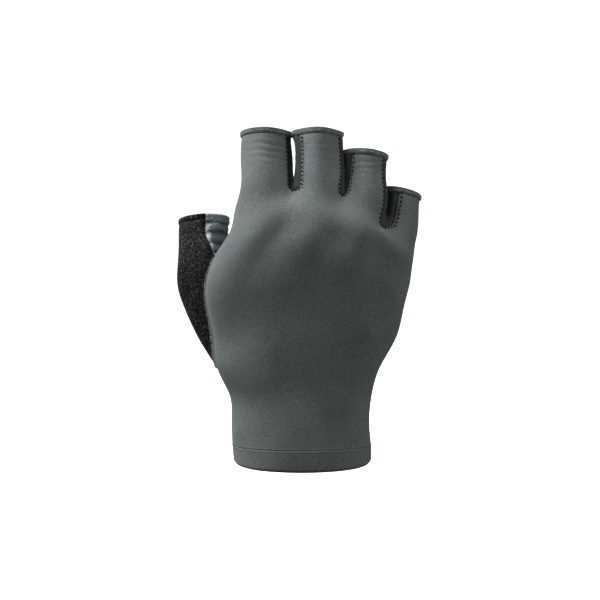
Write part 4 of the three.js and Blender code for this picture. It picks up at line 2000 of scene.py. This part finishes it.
@dataclass
class StitchRun:
    """A row of stitches beside one panel's seams, in millimetres and radians."""

    name: str
    panel: Panel
    beside: tuple[Panel, ...]
    finish: Finish
    slot: str
    offset: float = 1.2
    pitch: float = 2.05
    length: float = 1.2
    width: float = 0.92
    height: float = 0.6
    lift: float = 0.12
    turn: float = 0.0
    unevenness: float = 0.12
    span: tuple[float, float] = (0.0, 1.0)
    least_points: int = 4
    seed: int = 5

    def paths(self, fabric: Fabric, cloth: SewnPanel) -> list[tuple[np.ndarray, np.ndarray]]:
        """Finds the lines that the stitches follow.

        Args:
            fabric: The finished cloth.
            cloth: The panel that carries them, already built.

        Returns:
            The points of each line with the way that the cloth faces there.
        """
        tree = point_tree(cloth.outer)
        found = []
        for other in self.beside:
            part = cloth.rim.chosen(cloth.rim.other == other.number)
            into = fabric.inward(part)
            for chain in part.chains():
                low, high = (round(share * len(chain)) for share in self.span)
                ids = chain[low:high]
                if len(ids) < self.least_points:
                    continue
                line = np.array([fabric.places[k] + into[k] * self.offset for k in ids])
                near = [tree.find(point)[1] for point in line]
                facing = cloth.outer_normals[near]
                depth = ((line - cloth.outer[near]) * facing).sum(1, keepdims=True)
                found.append((line - facing * depth, facing))
        return found

    def build(
        self, lines: list[tuple[np.ndarray, np.ndarray]], stitches: StitchTree
    ) -> bpy.types.Object:
        """Lays the stitches and turns them into a plain mesh.

        Args:
            lines: The points of each line with the way that the cloth faces there.
            stitches: The tree that lays them.

        Returns:
            The object.
        """
        points, edges, facings = [], [], []
        for line, facing in lines:
            first = len(points)
            points += line.tolist()
            facings += facing.tolist()
            edges += [(first + k, first + k + 1) for k in range(len(line) - 1)]
        mesh = bpy.data.meshes.new(self.name)
        mesh.from_pydata((np.array(points) * MM).tolist(), edges, [])
        layer = mesh.attributes.new("facing", "FLOAT_VECTOR", "POINT")
        layer.data.foreach_set("vector", np.array(facings, np.float32).ravel())
        guide = new_object(f"{self.name}_guide", mesh)
        modifier = guide.modifiers.new("stitches", "NODES")
        modifier.node_group = stitches.tree
        sizes = {
            "Pitch": self.pitch * MM, "Length": self.length * MM, "Width": self.width * MM,
            "Height": self.height * MM, "Turn": self.turn, "Lift": self.lift * MM,
            "Unevenness": self.unevenness, "Seed": self.seed,
            "Material": self.finish.material(),
        }
        for name, value in sizes.items():
            modifier[stitches.identifier(name)] = value
        graph = bpy.context.evaluated_depsgraph_get()
        made = bpy.data.meshes.new_from_object(guide.evaluated_get(graph), depsgraph=graph)
        made.name = self.name
        bpy.data.objects.remove(guide)
        piece = new_object(self.name, made)
        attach(piece, "root")
        return piece


class Lamp(NamedTuple):
    """A square soft light: its name, its place and side in metres, and its power in watts."""

    name: str
    place: tuple[float, float, float]
    size: float
    power: float


@dataclass
class Studio:
    """A pale floor that curves up behind, soft lights, and the camera at the photograph's angle.

    The surroundings show as plain white to the camera and light the glove only faintly.
    """

    aim: tuple[float, float, float] = (-0.001125, 0.0, 0.072)
    distance: float = 0.45
    view_width: float = 0.27
    sensor: float = 36.0
    clip: tuple[float, float] = (0.01, 20.0)
    floor: float = -0.1
    half_width: float = 3.0
    back: float = 1.6
    front: float = -1.6
    rise: float = 2.2
    curve: float = 0.6
    curve_steps: int = 12
    paper: str = "ffffff"
    glow: float = 1.0
    ambient: float = 0.075
    lamps: tuple[Lamp, ...] = (
        Lamp("key_above_left", (-0.36, -0.1, 0.75), 0.4, 5.8),
        Lamp("edge_left", (-0.95, -0.12, 0.62), 0.4, 7.0),
        Lamp("fill_right", (0.9, -0.3, 0.45), 0.6, 3.2),
        Lamp("front_wash", (0.0, -0.9, 0.6), 0.7, 0.55),
        Lamp("palm_wash", (0.1, 1.1, 0.5), 0.8, 8.0),
    )

    def camera(self) -> None:
        """Sets the camera level in front of the back of the hand."""
        data = bpy.data.cameras.new("camera")
        data.sensor_width = self.sensor
        data.lens = self.sensor * self.distance / self.view_width
        data.clip_start, data.clip_end = self.clip
        camera = new_object("camera", data)
        camera.location = Vector(self.aim) - Vector((0.0, self.distance, 0.0))
        camera.rotation_euler = (math.pi / 2, 0.0, 0.0)
        bpy.context.scene.camera = camera

    def sweep(self) -> None:
        """Lays the floor and the backdrop as one curved sheet of white paper."""
        line = [(self.front, self.floor), (self.back - self.curve, self.floor)]
        for k in range(1, self.curve_steps + 1):
            turn = math.pi / 2 * k / self.curve_steps
            y = self.back - self.curve + self.curve * math.sin(turn)
            line.append((y, self.floor + self.curve * (1 - math.cos(turn))))
        line.append((self.back, self.rise))
        points = [(x, y, z) for y, z in line for x in (-self.half_width, self.half_width)]
        faces = [(2 * k, 2 * k + 1, 2 * k + 3, 2 * k + 2) for k in range(len(line) - 1)]
        mesh = bpy.data.meshes.new("paper_sweep")
        mesh.from_pydata(points, [], faces)
        mesh.shade_smooth()
        material = bpy.data.materials.new("white_paper_backlit")
        material.use_nodes = True
        shader = material.node_tree.nodes["Principled BSDF"]
        look = {
            "Base Color": hexed(self.paper), "Roughness": 1.0, "Specular IOR Level": 0.0,
            "Emission Color": hexed(self.paper), "Emission Strength": self.glow,
        }
        for socket, value in look.items():
            shader.inputs[socket].default_value = value
        mesh.materials.append(material)
        paper = new_object("paper_sweep", mesh)
        paper.visible_diffuse = False
        paper.visible_glossy = False
        paper.visible_shadow = False

    def light(self, lamp: Lamp) -> None:
        """Adds a light that faces the glove.

        Args:
            lamp: The light.
        """
        data = bpy.data.lights.new(lamp.name, "AREA")
        data.size = lamp.size
        data.energy = lamp.power
        thing = new_object(lamp.name, data)
        thing.location = lamp.place
        way = Vector(self.aim) - Vector(lamp.place)
        thing.rotation_euler = way.to_track_quat("-Z", "Y").to_euler()

    def room(self) -> None:
        """Surrounds the glove with plain white, and lets it light the glove only faintly."""
        world = bpy.data.worlds.new("studio_room")
        world.use_nodes = True
        tree = world.node_tree
        background = tree.nodes["Background"]
        background.inputs["Color"].default_value = hexed(self.paper)
        strength = add_node(tree, "ShaderNodeMapRange", {
            "Value": add_node(tree, "ShaderNodeLightPath").outputs["Is Camera Ray"],
            "To Min": self.ambient, "To Max": self.glow,
        })
        tree.links.new(strength.outputs[0], background.inputs["Strength"])
        bpy.context.scene.world = world

    def build(self) -> None:
        """Sets up the camera, the paper, the lights and the surroundings."""
        self.camera()
        self.sweep()
        for lamp in self.lamps:
            self.light(lamp)
        self.room()
        bpy.context.scene.view_settings.view_transform = "Standard"


@dataclass
class Glove:
    """The whole glove: its cloth panels, its hems and its stitches."""

    jersey: StretchJersey = field(default_factory=StretchJersey)
    binding: StretchJersey = field(default_factory=lambda: StretchJersey(
        name="stretch_jersey_rolled_hem", dark="4a504f", light="858c8a", wale=0.5,
    ))
    side_jersey: StretchJersey = field(default_factory=lambda: StretchJersey(
        name="stretch_jersey_between_fingers", dark="303534", light="4f5553",
    ))
    suede: PebbledSuede = field(default_factory=PebbledSuede)
    towelling: RibbedTowelling = field(default_factory=RibbedTowelling)
    thread: SpunThread = field(default_factory=SpunThread)
    edge_thread: SpunThread = field(default_factory=lambda: SpunThread(
        name="polyester_thread_overlock", colour="a4aba9",
    ))
    swell: Swell = field(default_factory=Swell)
    mounds: tuple[Mound, ...] = (
        Mound((-31.0, 52.5), (12.0, 8.0), -0.7), Mound((-21.0, 35.5), (15.0, 9.0), 0.8),
        Mound((50.0, 90.3), (8.0, 4.2), 0.7, depth=12.0),
        Mound((52.0, 97.5), (8.0, 4.0), -0.35, depth=12.0),
        Mound((18.0, 119.0), (26.0, 9.0), 0.8), Mound((36.0, 79.0), (10.0, 9.0), 0.5),
    )
    pulls: tuple[Pulls, ...] = (
        Pulls((-15.0, 0.0, 138.0), (9.0, 6.0), 3.1, 0.2, 0.05),
        Pulls((29.0, 0.0, 131.0), (8.0, 5.0), 2.8, 0.18, -0.12),
        Pulls((8.0, 0.0, 138.0), (8.0, 5.0), 3.6, 0.08, 0.0),
        Pulls((38.5, -4.0, 107.5), (4.0, 2.5), 3.0, 0.3, 0.1),
    )
    finger_hem: tuple[tuple[float, float], ...] = (
        (-0.08, -0.75), (-0.06, -0.1), (0.04, 0.18), (0.2, 0.36), (0.38, 0.42), (0.5, 0.38),
        (0.58, 0.44), (0.75, 0.66), (0.92, 0.68), (1.04, 0.46), (1.08, 0.05), (1.05, -0.5),
        (0.9, -0.95), (0.5, -1.15), (0.1, -1.05),
    )
    thumb_hem: tuple[tuple[float, float], ...] = (
        (-0.08, -0.75), (-0.06, -0.1), (0.05, 0.12), (0.3, 0.26), (0.6, 0.3), (0.85, 0.24),
        (0.99, 0.05), (1.04, -0.3), (0.98, -0.8), (0.8, -1.15), (0.5, -1.25), (0.1, -1.15),
    )
    gusset_hem: tuple[tuple[float, float], ...] = (
        (-0.5, -0.75), (-0.48, 0.0), (-0.34, 0.45), (-0.1, 0.62), (0.15, 0.6), (0.32, 0.4),
        (0.5, 0.58), (0.75, 0.62), (0.95, 0.42), (1.04, 0.0), (1.02, -0.6), (0.85, -1.1),
        (0.4, -1.25), (-0.2, -1.2),
    )

    def panels(self) -> list[SewnPanel]:
        """Lists the cloth panels.

        Returns:
            The panels, with their thickness in millimetres and their cut sizes in metres and
            square metres.
        """
        palm_rim = (Panel.BACK, *SIDES, Panel.THUMB, Panel.GUSSET)
        grey, black, blue = "grey_knit", "black_palm", "striped_towelling"
        return [
            SewnPanel(
                Panel.BACK, self.jersey, grey, thickness=1.0, flat=(0.2, 0.155), area=0.0157,
                stitched_to=SIDES,
            ),
            SewnPanel(
                Panel.CUFF_HEM, self.jersey, grey, thickness=1.6, flat=(0.165, 0.01),
                area=0.0015,
            ),
            SewnPanel(
                Panel.PALM, self.suede, black, thickness=1.3, flat=(0.1, 0.11), area=0.0075,
                stitched_to=palm_rim,
            ),
            SewnPanel(
                Panel.THUMB, self.suede, black, thickness=1.3, flat=(0.07, 0.08), area=0.0032
            ),
            SewnPanel(
                Panel.GUSSET, self.towelling, blue, thickness=1.2, flat=(0.024, 0.03),
                area=0.00058, rib_spacing=4.8, rib_height=0.6,
            ),
            *(
                SewnPanel(
                    side, self.side_jersey, grey, thickness=1.0, flat=(0.013, 0.062),
                    area=0.0006,
                )
                for side in SIDES
            ),
        ]

    def hems(self) -> list[RolledHem]:
        """Lists the rolled hems.

        Returns:
            The hems of the fingers, the thumb and the gusset.
        """
        finger_hems = [
            RolledHem(panel, self.binding, "grey_binding", self.finger_hem, seed=20 + k)
            for k, panel in enumerate(FINGER_HEMS)
        ]
        return finger_hems + [
            RolledHem(Panel.THUMB_HEM, self.suede, "black_palm", self.thumb_hem, seed=31),
            RolledHem(
                Panel.GUSSET_HEM, self.towelling, "striped_towelling", self.gusset_hem,
                pucker=0.14, pucker_spacing=3.4, seed=32,
            ),
        ]

    def stitches(self) -> list[StitchRun]:
        """Lists the rows of stitches beside seams.

        Returns:
            The rows.
        """
        return [
            StitchRun(
                "finger_seam_stitches", Panel.BACK, SIDES, self.thread, "black_palm", offset=1.6
            ),
            StitchRun(
                "middle_finger_second_row", Panel.BACK, (Panel.INDEX_MIDDLE,), self.thread,
                "black_palm", offset=2.4, pitch=1.5, length=0.95, width=0.45, turn=0.7,
                span=(0.02, 0.42), seed=8,
            ),
            StitchRun(
                "palm_seam_stitches", Panel.PALM, (Panel.BACK, *SIDES, Panel.THUMB),
                self.thread, "black_palm", width=0.6, height=0.4, lift=0.04, span=(0.04, 0.96),
                seed=6,
            ),
            StitchRun(
                "thumb_edge_overlock", Panel.BACK, (Panel.THUMB,), self.edge_thread,
                "grey_binding", offset=-0.8, pitch=0.92, length=1.15, width=0.4,
                height=0.5, lift=0.12, turn=1.45, unevenness=0.3, span=(0.03, 0.66), seed=7,
            ),
        ]

    def build(self) -> None:
        """Builds, dresses and declares every piece."""
        fabric = Fabric(GloveForm().cage())
        log.info("cloth surface: %d points", len(fabric.places))
        loose = [self.swell, *self.mounds, *self.pulls]
        cloths = {panel.panel: panel for panel in self.panels()}
        built = {name: panel.build(fabric, loose) for name, panel in cloths.items()}
        hems = self.hems()
        rolls = {hem.panel: hem.build(fabric) for hem in hems}
        tree = StitchTree()
        threads = {}
        for run in self.stitches():
            lines = run.paths(fabric, cloths[run.panel])
            threads[run.name] = run.build(lines, tree)
        seam = StitchRun(
            "finger_hem_overlock", Panel.BACK, (), self.edge_thread, "grey_binding", pitch=0.8,
            length=1.25, width=0.3, height=0.26, turn=1.2, unevenness=0.25, seed=9,
        )
        rows = [sewn.crest for sewn in hems if sewn.panel in FINGER_HEMS]
        threads[seam.name] = seam.build(rows, tree)
        palm_threads = [threads["palm_seam_stitches"]]
        back_rows = (
            "finger_seam_stitches", "middle_finger_second_row", "thumb_edge_overlock",
            "finger_hem_overlock",
        )
        goes_with = {
            Panel.BACK: [
                *(rolls[panel] for panel in FINGER_HEMS), *(threads[row] for row in back_rows),
            ],
            Panel.PALM: palm_threads,
            Panel.THUMB: [rolls[Panel.THUMB_HEM]],
            Panel.GUSSET: [rolls[Panel.GUSSET_HEM]],
        }
        for name, panel in cloths.items():
            panel.declare(built[name], goes_with.get(name, []))
        for piece in (*built.values(), *rolls.values(), *threads.values()):
            log.info("%s: %d faces", piece.name, len(piece.data.polygons))


def main() -> None:
    """Builds the studio and the glove."""
    logging.basicConfig(level=logging.INFO, format="%(message)s")
    Studio().build()
    Glove().build()


if __name__ == "__main__":
    main()
